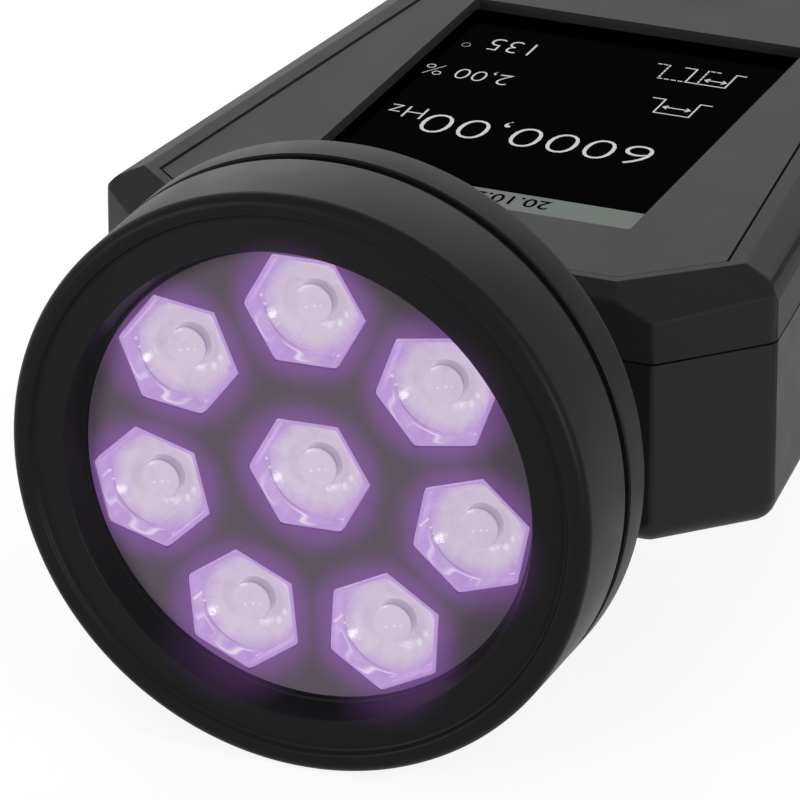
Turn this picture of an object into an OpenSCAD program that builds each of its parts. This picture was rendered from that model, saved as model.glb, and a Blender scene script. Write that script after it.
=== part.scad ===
// Handheld stroboscope with a round ultraviolet lamp head and a tapered case with a display.
// Millimetres, +Z up. The lamp shines along -Y. The origin is the mouth of the tripod thread
// in the flat underside of the case. Lamp parts are drawn along their own axis, from the
// plane of the front lip towards the rear.

/* [Lamp rings] */
// Width of the lens plate outside the outer lenses
plate_edge = 0.85; // [0.6:0.05:1.5]
// How much wider the mouth is at the lip than at the lens plate
mouth_flare = 1.7; // [1:0.1:2.2]
// Width of the front ring's face, from the mouth to the outside
lip_w = 8.6; // [8:0.1:10]
// Depth of the mouth from the lip to the lens plate
mouth_depth = 4.9; // [4.5:0.1:6]
// Length of the front ring
front_ring_len = 14.6; // [14:0.1:16]
// Width of the groove between the two rings
ring_gap = 1.9; // [1.5:0.1:2.4]
// Length of the rear ring
rear_ring_len = 5.8; // [4:0.1:7]
// Rounding of the front ring's outer edge
ring_round = 1.8; // [1:0.1:3]
// Radial wall of the rings over the housing
ring_wall = 1.5; // [1.2:0.1:1.8]

/* [Lenses] */
// Width across the flats of a lens
lens_flat_w = 16.5; // [15:0.1:17]
// Distance between neighbours on the lens circle, less the width of a lens
lens_land = 5.7; // [5.4:0.1:6.5]
// Depth of the hexagonal recess in a lens
lens_recess = 2.5; // [1.5:0.1:3]
// Wall round the hexagonal recess
lens_rim = 0.7; // [0.5:0.1:1]
// Depth of the bowl under the recess
lens_bowl = 2.6; // [2:0.1:3]
// Radius of the boss in the bowl
lens_boss_r = 2.95; // [2:0.05:3]
// Height of the boss
lens_boss_h = 2.2; // [1.5:0.1:2.4]
// How far the flange behind the plate stands out
lens_flange = 0.9; // [0.5:0.1:1.2]
// Thickness of the lens plate
plate_t = 1.7; // [1.2:0.1:2]

/* [Lamp inside] */
// Thickness of the emitter board
led_board_t = 1.6; // [1:0.1:2]
// Depth from the lens plate's front to the emitter board
led_depth = 10.4; // [10.2:0.1:11]
// Side of an emitter's square base
led_w = 5; // [3.5:0.1:5.4]
// Radius of an emitter's dome
led_dome_r = 2.2; // [1.5:0.1:2.4]
// Thickness of the heat sink's disc
sink_t = 3; // [2:0.1:3]
// Height of the heat sink's fins
fin_h = 3.6; // [2:0.1:3.8]
// Spacing of the fins
fin_pitch = 5; // [4:0.5:8]
// Thickness of a fin
fin_t = 1.4; // [1:0.1:2]
// Wall of the lamp housing
cup_wall = 3; // [2.5:0.1:3.2]
// Radius of the neck that the case holds
neck_r = 12; // [10:0.1:13]
// Step of the collars either side of the case wall
collar = 3; // [2:0.1:3.4]
// Radius of the lamp lead
lead_r = 2; // [1:0.1:2.5]

/* [Case] */
// Distance from the lip plane back to the case front
front_gap = 38.4; // [38:0.1:44]
// Height of the case
case_h = 40.5; // [39:0.1:42]
// Height of the lamp axis over the case bottom
axis_h = 19.2; // [18:0.1:19.4]
// Height of the parting line
parting_h = 29.3; // [28.6:0.1:30]
// Half width of the head, where the cut-off corners end
head_half_w = 53.6; // [51:0.1:55]
// Width of a cut-off corner across the case
corner_w = 13.8; // [11:0.1:15]
// Length of the cut-off corners along the case
corner_len = 14.6; // [13:0.1:18]
// Half width of the rear end
rear_half_w = 35.2; // [33:0.1:38]
// Size of the cut at the rear corners
rear_corner = 9; // [6:0.1:11]
// Wall of the shells
wall = 2.5; // [2:0.1:2.6]
// Thickness of the top under the panel pocket and round it
top_t = 2; // [1.8:0.1:2.2]
// Radius of the bottom edges
bottom_round = 4; // [2:0.1:4.5]
// Slope of the bevels along the front and the cut-off corners
bevel_slope = 34; // [30:0.5:36]
// Slope of the bevels along the sides and the rear
side_slope = 26; // [24:0.5:34]
// Width of the bevel along the front
front_bevel_w = 2.8; // [2.2:0.1:3.2]
// Width of the bevel along the sides and the rear
side_bevel_w = 5.4; // [4:0.1:6]
// How far the top face's front edge ends inside the front face's
corner_in = 6.8; // [6:0.1:7.6]
// Heading of the top edge at the cut-off corners
corner_heading = 42; // [41:0.5:45]
// Depth and height of the fine step along the parting line
seam = 0.35; // [0.2:0.05:0.5]

/* [Panel and display] */
// Thickness of the front panel
panel_t = 0.8; // [0.5:0.1:1]
// How far the panel lies below the rim
panel_drop = 0.2; // [0.05:0.05:0.3]
// Groove round the panel
panel_gap = 0.5; // [0.3:0.05:0.7]
// Rim between the panel and the side bevels
side_rim = 2.5; // [1.8:0.1:3]
// Rim between the panel and the front bevels
front_rim = 1.5; // [1:0.1:2]
// Width of the display window
window_w = 55.4; // [52:0.1:57]
// Length of the display window
window_len = 76.8; // [70:0.1:77]
// Distance from the case front to the window's near edge
window_gap = 21.8; // [21.6:0.1:23]
// Corner radius of the display window
window_r = 0.6; // [0.3:0.1:1.5]
// Thickness of the gasket over the screen
gasket_t = 0.3; // [0.2:0.05:0.5]
// Thickness of the screen glass
screen_t = 1.2; // [0.8:0.1:1.5]
// Thickness of the display module
module_t = 2.6; // [2:0.1:3]
// Margin of the display module round the window
module_margin = 3.6; // [2.5:0.1:4]

/* [Keypad] */
// Distance from the window to the first row of keys
keypad_gap = 20.8; // [20:0.1:24]
// Distance from the last row of keys to the rear end
rear_gap = 22.2; // [22:0.1:26]
// Spacing of the keys across the case
key_pitch_x = 17.5; // [16:0.1:18]
// Spacing of the keys along the case
key_pitch_y = 13; // [12.4:0.1:13.4]
// Width of an arrow key
key_w = 12; // [10:0.1:13]
// Length of an arrow key
key_len = 8.4; // [7:0.1:9]
// Corner radius of a key
key_r = 2; // [1:0.1:3]
// How far a key stands proud of the panel
key_proud = 1.1; // [0.9:0.1:1.6]
// Travel of a key
key_travel = 0.7; // [0.4:0.05:0.8]
// Gap round a key in the panel
key_gap = 0.25; // [0.15:0.05:0.4]
// Step of the flange that keeps a key in
key_flange = 0.8; // [0.5:0.1:1]
// Thickness of that flange
key_flange_t = 0.8; // [0.6:0.1:1]
// Length of the stem under a key
key_stem_h = 1.5; // [1:0.1:2]
// Height of a key switch
switch_h = 1.6; // [1:0.1:2]
// Side of a key switch
switch_w = 4.5; // [3:0.1:5]
// Thickness of every circuit board but the emitter board
board_t = 1.6; // [1:0.1:1.8]

/* [Main board and battery] */
// Width of the main board
main_board_w = 60; // [58:0.5:61]
// Length of the main board
main_board_len = 80; // [78:0.5:82]
// Height of the spacers between display module and main board
spacer_h = 3.4; // [3:0.1:4]
// Inset of the board holes from the board's edges
hole_inset = 3.5; // [3.2:0.1:4]
// Radius of the posts that carry a board
post_r = 3; // [2.6:0.1:3.2]
// Radius of a battery cell
cell_r = 9.1; // [8.8:0.05:9.2]
// Length of a battery cell
cell_len = 65; // [60:0.5:66]
// Gap between the tripod insert's boss and the battery holder
holder_gap = 2; // [1:0.1:4]
// Gap between the two cells
cell_gap = 2; // [1:0.1:3]
// Wall of the battery holder
holder_wall = 1.5; // [1:0.1:2]
// Thickness of the battery contacts
contact_t = 0.5; // [0.3:0.05:0.8]

/* [Ports and fasteners] */
// Width of the charging socket
usb_w = 9; // [8.6:0.1:9.4]
// Height of the charging socket
usb_h = 3.2; // [3:0.1:3.6]
// Radius of the trigger socket's bore
jack_r = 1.8; // [1.7:0.05:2]
// Depth of the trigger socket's bore
jack_depth = 12; // [10:0.5:13]
// Distance of each socket from the middle of the rear end
port_x = 11; // [10:0.1:13]
// Height of the port board's upper face
port_top = 12.4; // [11:0.1:14]
// Length of the port board
port_board_len = 16; // [14:0.5:18]
// Radius of the case screws
case_screw_r = 1.45; // [1.2:0.05:1.6]
// Radius of their heads
screw_head_r = 2.8; // [2.4:0.05:3]
// Radius of the bosses for the case screws
boss_r = 3.6; // [3.2:0.1:3.8]
// Radius of the tripod thread
tripod_r = 3.175; // [3.1:0.005:3.25]
// Depth of the tripod thread
tripod_depth = 9; // [7:0.5:10]
// Outer radius of the brass insert
insert_r = 5.5; // [5:0.1:6]
// Wall of the boss round the insert
insert_wall = 2.5; // [2:0.1:3]
// Distance from the case front to the tripod thread
tripod_gap = 53.6; // [52:0.1:55]
// Gap between pieces that are put together
fit = 0.1; // [0.05:0.05:0.15]

/* [Hidden] */
big = 400;
$fn = 64;
ring_fn = 128;

// Small fixed details.
lens_count = 7;
lens_start = 91.4;
plate_lap = 3.3;
lens_flange_t = 1;
lens_shoulder = 0.4;
boss_rise = 0.5;
dome_room = 0.5;
pocket_wall = 1.6;
led_base_t = 0.8;
sink_ledge = 2.5;
board_screw_r = 1.25;
board_screw_in = 11;
small_head_r = 1.9;
small_head_h = 1.2;
rim_step = 0.6;
lead_run = 22;
gasket_back = 0.4;
module_frame_w = 10;
plug_w = 9;
plug_len = 7;
collar_t = 2;
plug_h = 5;
ceiling_t = 5;
shoulder = 6.5;
boss_sink = 0.5;
front_boss_gap = 9;
middle_boss_gap = 10;
rear_boss_gap = 11.5;
board_lag = 0.8;
key_board_side = 0.5;
key_board_end = 6;
post_margin = 0.3;
stem_r = 1.5;
plunger_r = 1.2;
plunger_h = 0.5;
lead_in = 0.4;
contact_w = 10;
holder_end_up = 5;
holder_side_up = 3;
contact_low = 6;
port_leg_w = 6;
top_edge_round = 4;
keypad_post_r = 2.2;
keypad_screw_r = 0.95;
stud_r = 1.2;
stud_len = 5;
screw_head_h = 2.2;
hex_key_r = 1.4;
screw_seat = 3.2;
screw_grip = 5;
keypad_screw_grip = 2.8;
screw_tip = 0.2;
insert_roof = 1;
jack_lift = 4.2;
jack_nose_r = 3.4;
jack_proud = 0.8;
jack_body_w = 9;
jack_body_len = 11;
port_recess = 0.4;
usb_len = 7.5;
usb_skin = 0.4;
tongue_t = 0.7;
capacitor_r = 4;
capacitor_h = 9;
capacitor_x = 16;
capacitor_lag = 24;
processor_w = 12;
processor_h = 1.4;
memory_w = 7;
coil_r = 5;
coil_h = 2.6;
strip_w = 16;
strip_len = 3.5;
strip_h = 1.8;
chip_lag = 30;
coil_lag = 55;
chip_x = 12;

// The lamp's radii follow from its lenses, and the case's length from what lies on it.
lens_ring_r = (lens_flat_w + lens_land) / 2 / sin(180 / lens_count);
mouth_r = lens_ring_r + lens_flat_w / 2 + plate_edge;
lip_r = mouth_r + mouth_flare;
lamp_r = lip_r + lip_w;
board_screw_circle = lens_ring_r - board_screw_in;
keypad_len = 2 * key_pitch_y + key_len;
window_back = front_gap + window_gap;
keypad_back = window_back + window_len + keypad_gap + keypad_len / 2;
case_len = keypad_back + keypad_len / 2 + rear_gap - front_gap;
tripod_back = front_gap + tripod_gap;
cell_back = tripod_back + insert_r + insert_wall + holder_gap + holder_wall + contact_t;
front_half_w = head_half_w - corner_w;
top_front_half_w = front_half_w - corner_in;

// A depth behind the lip plane as a Y in the frame, and the places that follow from it.
function back(a) = a - tripod_back;
front_y = back(front_gap);
rear_y = front_y + case_len;
top_under = case_h - top_t;
screen_z = top_under - gasket_t;
module_top = screen_z - screen_t;
main_top = module_top - module_t - spacer_h;
key_under = top_under - fit - key_flange_t;
switch_top = key_under - key_stem_h - key_travel - fit;
key_board_top = switch_top - switch_h;
floor_z = wall;
main_bottom = main_top - board_t;
panel_under = case_h - panel_drop - panel_t;
ceiling_h = case_h - ceiling_t;
corner_end = front_gap + corner_len;
window_end = window_back + window_len;
main_board_back = window_back + board_lag;
cell_x = cell_r + cell_gap / 2;
cell_z = floor_z + holder_wall + fit + cell_r;
key_board_w = 2 * key_pitch_x + key_w + 2 * key_board_side;
key_board_len = keypad_len + 2 * key_board_end;
port_board_mid = rear_y - wall - fit - port_board_len / 2;
keys = [
    [0, -key_pitch_y], [0, key_pitch_y], [key_pitch_x, 0], [-key_pitch_x, 0],
    [0, 0], [key_pitch_x, key_pitch_y], [-key_pitch_x, key_pitch_y]
];
window_mid = back(window_back + window_len / 2);
module_w = window_w + 2 * module_margin;
module_len = window_len + 2 * module_margin;
keypad_mid = back(keypad_back);

// Depths of the lamp's layers behind the lip plane.
plate_back = mouth_depth + plate_t;
led_front = mouth_depth + led_depth;
sink_front = led_front + led_board_t;
sink_back = sink_front + sink_t;
rear_ring_front = front_ring_len + ring_gap;
rear_ring_back = rear_ring_front + rear_ring_len;
spigot_r = lamp_r - ring_wall - fit;
cup_r = spigot_r - cup_wall;
neck_front = front_gap - fit;
neck_back = front_gap + wall + fit;
lead_bore_r = lead_r + 2 * fit;
lead_end = neck_back + lead_run;

// Outline of the case and the headings of its edges.
function unit(v) = v / norm(v);
function right_of(v) = [v.y, -v.x];
function turn(a) = [cos(a), sin(a)];
function both_sides(half) = concat(half, [for (i = [len(half) - 1 : -1 : 0]) [-half[i].x, half[i].y]]);
function edge(pts, i) = unit(pts[(i + 1) % len(pts)] - pts[i]);
function heading(v) = atan2(v.y, v.x);

// The slope of the bevel along one of the outline's eight edges.
function slope_of(i) = i > 0 && i < 6 ? side_slope : bevel_slope;

// An outline drawn in by a width of its own on every edge.
function drawn_in(pts, widths) = [
    for (i = [0 : len(pts) - 1])
        let (
            j = (i + len(pts) - 1) % len(pts),
            n1 = right_of(edge(pts, j)),
            n2 = right_of(edge(pts, i)),
            a = pts[i] * n1 - widths[j],
            b = pts[i] * n2 - widths[i],
            det = n1.x * n2.y - n1.y * n2.x
        )
        [(a * n2.y - b * n1.y) / det, (b * n1.x - a * n2.x) / det]
];
function all_round(d) = [for (i = [0 : 7]) d];

outline = both_sides([
    [front_half_w, front_y],
    [head_half_w, front_y + corner_len],
    [rear_half_w, rear_y - rear_corner],
    [rear_half_w - rear_corner, rear_y]
]);

// The top face: its cut-off corners run at their own heading from the front edge's end.
side_dir = edge(outline, 1);
side_start = outline[1] - right_of(side_dir) * side_bevel_w;
corner_start = [top_front_half_w, front_y + front_bevel_w];
corner_dir = turn(corner_heading);
corner_reach = (side_start - corner_start) * right_of(side_dir) / (corner_dir * right_of(side_dir));
rear_top = drawn_in(outline, all_round(side_bevel_w));
top_face = both_sides([
    corner_start,
    corner_start + corner_dir * corner_reach,
    rear_top[2],
    rear_top[3]
]);
pocket = drawn_in(top_face, concat([front_rim], [for (i = [1 : 5]) side_rim], [front_rim, front_rim]));

// Draws along the lamp's axis: local Z is the depth behind the lip plane, local X is X.
module on_lamp() translate([0, back(0), axis_h]) rotate([-90, 0, 0]) children();

// A point on the lens circle, with the flat of its hexagon facing outwards.
module at_lens(k) rotate([0, 0, -lens_start - k * 360 / lens_count])
    translate([lens_ring_r, 0, 0]) children();
module at_centre() rotate([0, 0, -lens_start]) children();
module at_any_lens(k) {
    if (k == 0) at_centre() children();
    else at_lens(k - 1) children();
}

module hex_prism(flat_w, h) rotate([0, 0, 30]) cylinder(r = flat_w / 2 / cos(30), h = h, $fn = 6);

// A flat shape with round corners, of true arcs.
module rounded_rect(w, len, r) {
    square([w - 2 * r, len], center = true);
    square([w, len - 2 * r], center = true);
    for (x = [-1, 1], y = [-1, 1]) translate([x * (w / 2 - r), y * (len / 2 - r)]) circle(r, $fn = 32);
}
module block(pos, size) translate([pos.x - size.x / 2, pos.y - size.y / 2, pos.z]) cube(size);

// A round bar between two heights.
module post(r, z0, z1) translate([0, 0, z0]) cylinder(r = r, h = z1 - z0);

// Points of an arc about a centre, from one angle to another.
function arc(c, r, from, to, n = 8) = [
    for (i = [0 : n]) let (a = from + (to - from) * i / n) c + r * [cos(a), sin(a)]
];

// The front ring: a flared mouth with a thin lip, a dished face and a raised round rim.
module lamp_front_ring() {
    plate_seat_r = mouth_r + plate_lap + fit;
    lip_edge = 0.15;
    face_dish = 0.9;
    crown_round = 0.7;
    crown_w = 0.6;
    crown_foot = 0.5;
    crown_r = lamp_r - ring_round - crown_w;
    end_edge = 0.3;
    color("#26262a") on_lamp() rotate_extrude($fn = ring_fn) polygon(concat(
        [
            [mouth_r, mouth_depth],
            [lip_r, lip_edge],
            [lip_r + lip_edge, 0],
            [crown_r - crown_round - crown_foot, face_dish]
        ],
        arc([crown_r, crown_round], crown_round, 190, 270, 4),
        arc([lamp_r - ring_round, ring_round], ring_round, 270, 360),
        [
            [lamp_r, front_ring_len - end_edge],
            [lamp_r - end_edge, front_ring_len],
            [spigot_r + fit, front_ring_len],
            [spigot_r + fit, plate_back + fit],
            [plate_seat_r, plate_back + fit],
            [plate_seat_r, mouth_depth]
        ]
    ));
}

module lamp_rear_ring() color("#2c2c30") on_lamp() rotate_extrude($fn = ring_fn) polygon([
    [spigot_r + fit, rear_ring_front],
    [lamp_r - rim_step, rear_ring_front],
    [lamp_r, rear_ring_front + rim_step],
    [lamp_r, rear_ring_back - rim_step],
    [lamp_r - rim_step, rear_ring_back],
    [spigot_r + fit, rear_ring_back]
]);

module groove_seal() {
    seal_r = ring_gap / 4;
    color("#101010") on_lamp() translate([0, 0, front_ring_len + ring_gap / 2])
        rotate_extrude($fn = ring_fn) translate([spigot_r + fit + seal_r, 0]) circle(seal_r, $fn = 24);
}

module lamp_housing() {
    rim_front = rear_ring_back + fit;
    rim_back = rim_front + 1;
    rim_r = lamp_r - rim_step;
    cone_back = front_gap - 3;
    cone_r = rim_r - (cone_back - rim_back);
    ledge_r = cup_r - sink_ledge;
    collar_r = neck_r + collar;
    color("#1c1c1f") on_lamp() rotate_extrude($fn = ring_fn) polygon([
        [cup_r, plate_back + fit],
        [spigot_r, plate_back + fit],
        [spigot_r, rim_front],
        [rim_r, rim_front],
        [rim_r, rim_back],
        [cone_r, cone_back],
        [collar_r, cone_back],
        [collar_r, neck_front],
        [neck_r, neck_front],
        [neck_r, neck_back],
        [collar_r, neck_back],
        [collar_r, neck_back + collar_t],
        [lead_bore_r, neck_back + collar_t],
        [lead_bore_r, cone_back - cup_wall],
        [cone_r - cup_wall, cone_back - cup_wall],
        [ledge_r, cone_back - cup_wall - (ledge_r - cone_r + cup_wall)],
        [ledge_r, sink_back],
        [cup_r, sink_back]
    ]);
}

module lens_plate() color("#6e6e70") on_lamp() translate([0, 0, mouth_depth]) difference() {
    cylinder(r = mouth_r + plate_lap, h = plate_t, $fn = ring_fn);
    for (k = [0 : lens_count]) at_any_lens(k) translate([0, 0, -1])
        hex_prism(lens_flat_w + 2 * fit, plate_t + 2);
}

// A clear hexagonal lens: recess, bowl and boss in front, a cone with a pocket for the dome behind.
module lens(k) {
    front = 0.15;
    flange_front = plate_t + fit;
    bowl_front = front + lens_recess;
    bowl_back = bowl_front + lens_bowl;
    lens_back = led_depth - led_base_t - fit;
    pocket_r = led_dome_r + dome_room;
    cone_front = bowl_back + lens_shoulder;
    cone_len = lens_back - cone_front;
    boss_curve = (pow(lens_boss_r, 2) + pow(boss_rise, 2)) / 2 / boss_rise;
    boss_front = bowl_back - lens_boss_h;
    color("#c9a2e6") on_lamp() translate([0, 0, mouth_depth]) at_any_lens(k) {
        difference() {
            union() {
                translate([0, 0, front]) hex_prism(lens_flat_w, cone_front - front);
                translate([0, 0, flange_front]) hex_prism(lens_flat_w + 2 * lens_flange, lens_flange_t);
                translate([0, 0, cone_front - 0.1])
                    cylinder(r1 = lens_flat_w / 2, r2 = pocket_r + pocket_wall, h = cone_len + 0.1);
            }
            translate([0, 0, front - 1]) hex_prism(lens_flat_w - 2 * lens_rim, 1 + lens_recess);
            translate([0, 0, bowl_front - 0.01])
                cylinder(r1 = lens_flat_w / 2 - lens_rim - 0.3, r2 = lens_boss_r + 0.2, h = lens_bowl);
            post(pocket_r, lens_back - led_dome_r - dome_room / 2, lens_back + 1);
        }
        translate([0, 0, boss_front - boss_rise]) intersection() {
            cylinder(r = lens_boss_r, h = lens_boss_h + boss_rise + 0.1);
            translate([0, 0, boss_curve]) sphere(boss_curve, $fn = 96);
        }
    }
}

// An emitter: a square base on the board and a clear dome.
module led(k) color("#e8dcc8") on_lamp() translate([0, 0, led_front]) at_any_lens(k) {
    block([0, 0, -led_base_t], [led_w, led_w, led_base_t]);
    translate([0, 0, -led_base_t]) difference() {
        sphere(led_dome_r, $fn = 48);
        translate([0, 0, led_dome_r + 0.2]) cube(2 * led_dome_r + 0.4, center = true);
    }
}

module led_board() color("#d8d8d0") on_lamp() translate([0, 0, led_front]) difference() {
    cylinder(r = cup_r - 0.3, h = led_board_t, $fn = ring_fn);
    for (k = [0 : 2]) at_board_screw(k) post(board_screw_r + fit, -1, led_board_t + 1);
}

// Three board screws stand inside the lens circle, each between two of its lenses.
module at_board_screw(k) rotate([0, 0, -lens_start - (2 * k + 0.5) * 360 / lens_count])
    translate([board_screw_circle, 0, 0]) children();

module board_screws() color("#b8b8bc") on_lamp() translate([0, 0, led_front])
    for (k = [0 : 2]) at_board_screw(k) {
        post(small_head_r, -small_head_h, 0);
        post(board_screw_r, -0.1, led_board_t + sink_t - 2 * screw_tip);
    }

module heat_sink() color("#9a9ca0") on_lamp() translate([0, 0, sink_front]) {
    fin_r = cup_r - sink_ledge - 0.6;
    fins = floor((fin_r - fin_t) / fin_pitch);
    difference() {
        cylinder(r = cup_r - 0.2, h = sink_t, $fn = ring_fn);
        post(lead_bore_r, -1, sink_t + 1);
        for (k = [0 : 2]) at_board_screw(k) post(board_screw_r + fit, -1, sink_t - screw_tip);
    }
    for (i = [-fins : fins]) {
        x = i * fin_pitch;
        reach = sqrt(pow(fin_r, 2) - pow(abs(x) + fin_t / 2, 2));
        gap = abs(x) < lead_bore_r + fin_t ? lead_bore_r + 1 : 0;
        for (side = [-1, 1]) if (gap > 0 || side > 0)
            translate([x - fin_t / 2, side > 0 ? (gap > 0 ? gap : -reach) : -reach, sink_t - 0.1])
                cube([fin_t, gap > 0 ? reach - gap : 2 * reach, fin_h + 0.1]);
    }
}

// The lead leaves the back of the emitter board, runs through the neck and turns up to its plug.
module lamp_lead() color("#202020") {
    on_lamp() translate([0, 0, sink_front]) cylinder(r = lead_r, h = lead_end - sink_front);
    translate([0, back(lead_end), axis_h]) sphere(lead_r);
    translate([0, back(lead_end), axis_h]) cylinder(r = lead_r, h = main_bottom - plug_h - axis_h);
}

// One half-space cut along a line in the top plane, sloping down to the outside.
module slope_cut(p, along, slope) translate([p.x, p.y, case_h]) rotate([0, 0, along])
    rotate([slope, 0, 0]) translate([-big / 2, -big / 2, 0]) cube(big);

// The upright block of the case between two heights.
module case_block(z0, z1, inset = 0) translate([0, 0, z0]) linear_extrude(z1 - z0)
    polygon(drawn_in(outline, all_round(inset)));

// Planes that touch a fillet of radius r, at the angles given, along the bottom edges of the case.
module fillet_cuts(r, angles) for (i = [0 : 7], a = angles) {
    dir = edge(outline, i);
    pivot = outline[i] - right_of(dir) * r;
    translate([pivot.x, pivot.y, r]) rotate([0, 0, heading(dir)]) rotate([a, 0, 0])
        translate([-big / 2, -big - r, -big / 2]) cube(big);
}

// A screw boss stands against the inside of the side wall at a depth behind the lip.
function half_at(a) = head_half_w - (head_half_w - rear_half_w) * (back(a) - outline[1].y)
    / (outline[2].y - outline[1].y);
function boss_x(a) = half_at(a) - wall - boss_r + boss_sink;
boss_rows = [corner_end + front_boss_gap, window_end + middle_boss_gap, front_gap + case_len - rear_boss_gap];
module at_bosses() for (a = boss_rows, s = [-1, 1]) translate([s * boss_x(a), back(a), 0]) children();

module at_keys() for (k = keys) translate([k.x, keypad_mid + k.y, 0]) children();
module at_keypad_posts() {
    inset = keypad_post_r + post_margin;
    for (x = [-1, 1], y = [-1, 1])
        translate([x * (key_board_w / 2 - inset), keypad_mid + y * (key_board_len / 2 - inset), 0])
            children();
}
module at_board_posts() for (x = [-1, 1], y = [hole_inset, main_board_len - hole_inset])
    translate([x * (main_board_w / 2 - hole_inset), back(main_board_back) + y, 0]) children();

module top_shell() color("#505053") difference() {
    union() {
        difference() {
            union() {
                case_block(parting_h + seam, case_h);
                case_block(parting_h, parting_h + seam + 0.1, seam);
            }
            case_block(parting_h - 1, ceiling_h, wall);
            case_block(parting_h - 1, top_under, wall + shoulder);
            for (i = [0 : 7]) slope_cut(top_face[i], heading(edge(top_face, i)), slope_of(i));
            for (i = [1 : 5]) for (a = [16, 32, 48]) edge_round(i, a);
        }
        at_bosses() post(boss_r, parting_h, ceiling_h + 0.1);
        at_keypad_posts() post(keypad_post_r, key_board_top, top_under + 0.1);
    }
    translate([0, 0, panel_under]) linear_extrude(big) polygon(pocket);
    translate([0, window_mid, top_under - 1]) linear_extrude(big)
        rounded_rect(window_w, window_len, window_r);
    at_keys() translate([0, 0, top_under - 1]) linear_extrude(big)
        rounded_rect(key_w + 2 * key_gap, key_len + 2 * key_gap, key_r + key_gap);
    at_bosses() post(case_screw_r + fit / 2, parting_h - 1, parting_h + screw_grip + screw_tip);
    at_keypad_posts()
        post(keypad_screw_r + fit / 2, key_board_top - 1, key_board_top + keypad_screw_grip + screw_tip);
    neck_hole();
}

// Rounds the edge between a bevel and its wall with a plane at the angle given.
module edge_round(i, a) {
    dir = edge(outline, i);
    drop = side_bevel_w * tan(side_slope);
    reach = top_edge_round * tan((90 - side_slope) / 2);
    pivot = outline[i] - right_of(dir) * top_edge_round;
    translate([pivot.x, pivot.y, case_h - drop - reach]) rotate([0, 0, heading(dir)])
        rotate([-a, 0, 0]) translate([-big / 2, -big - top_edge_round, -big / 2]) cube(big);
}

module neck_hole() on_lamp() translate([0, 0, front_gap - 1]) cylinder(r = neck_r + fit, h = wall + 2);

module bottom_shell() color("#3c3c3f") difference() {
    union() {
        difference() {
            case_block(0, parting_h);
            case_block(floor_z, parting_h + 1, wall);
            fillet_cuts(bottom_round, [18, 45, 72]);
        }
        at_bosses() post(boss_r, floor_z - 0.1, parting_h);
        at_board_posts() post(post_r, floor_z - 0.1, main_bottom);
        post(insert_r + insert_wall, floor_z - 0.1, tripod_depth + insert_roof + wall);
        for (s = [-1, 1]) block(
            [s * port_x, port_board_mid, floor_z - 0.1],
            [port_leg_w, port_board_len - 4, port_top - board_t - floor_z + 0.1]
        );
    }
    at_bosses() {
        post(screw_head_r + 2 * fit, -1, screw_seat);
        post(case_screw_r + fit, -1, parting_h + 1);
    }
    at_board_posts() post(stud_r + fit / 2, main_bottom - stud_len, main_bottom + 1);
    post(insert_r + fit / 2, -1, tripod_depth + insert_roof);
    neck_hole();
    translate([port_x, rear_y, port_top + usb_h / 2])
        cube([usb_w + 2 * fit, 4 * wall, usb_h + 2 * fit], center = true);
    translate([-port_x, rear_y, port_top + jack_lift]) rotate([90, 0, 0])
        post(jack_nose_r + fit, -1, wall + 1);
}

module front_panel() color("#5a5a5d") translate([0, 0, panel_under]) linear_extrude(panel_t) difference() {
    polygon(drawn_in(pocket, all_round(panel_gap)));
    translate([0, window_mid]) rounded_rect(window_w, window_len, window_r);
    for (k = keys) translate([k.x, keypad_mid + k.y])
        rounded_rect(key_w + 2 * key_gap, key_len + 2 * key_gap, key_r + key_gap);
}

module display_gasket() color("#18181a") translate([0, window_mid, screen_z])
    linear_extrude(gasket_t) difference() {
        square([module_w, module_len], center = true);
        square([window_w + 2 * gasket_back, window_len + 2 * gasket_back], center = true);
    }
module display_screen() color("#08080a") block([0, window_mid, module_top], [module_w, module_len, screen_t]);
module display_module() color("#a0a2a6") difference() {
    block([0, window_mid, module_top - module_t], [module_w, module_len, module_t]);
    block(
        [0, window_mid, module_top - module_t - 1],
        [module_w - 2 * module_frame_w, module_len - 2 * module_frame_w, 1 + module_t / 6]
    );
}

module main_board() color("#1f5a34") difference() {
    block(
        [0, back(main_board_back) + main_board_len / 2, main_bottom],
        [main_board_w, main_board_len, board_t]
    );
    at_board_posts() post(stud_r + fit, main_bottom - 1, main_top + 1);
}

// Components: the lamp's plug and two capacitors below, then a processor, a memory, a coil and
// a connector above.
module board_parts() color("#2a2a2c") {
    start = back(main_board_back);
    block([0, back(lead_end), main_bottom - plug_h], [plug_w, plug_len, plug_h]);
    for (s = [-1, 1]) translate([s * capacitor_x, start + capacitor_lag, 0])
        post(capacitor_r, main_bottom - capacitor_h, main_bottom);
    block([-chip_x, start + chip_lag, main_top], [processor_w, processor_w, processor_h]);
    block([chip_x, start + chip_lag, main_top], [memory_w, memory_w, processor_h]);
    translate([chip_x, start + coil_lag, 0]) post(coil_r, main_top, main_top + coil_h);
    block([-chip_x, start + coil_lag, main_top], [strip_w, strip_len, strip_h]);
}

module board_spacers() color("#c8a850") at_board_posts() {
    post(2 * stud_r, main_top, main_top + spacer_h);
    post(stud_r, main_bottom - stud_len + screw_tip, main_top + 0.1);
}

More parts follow.
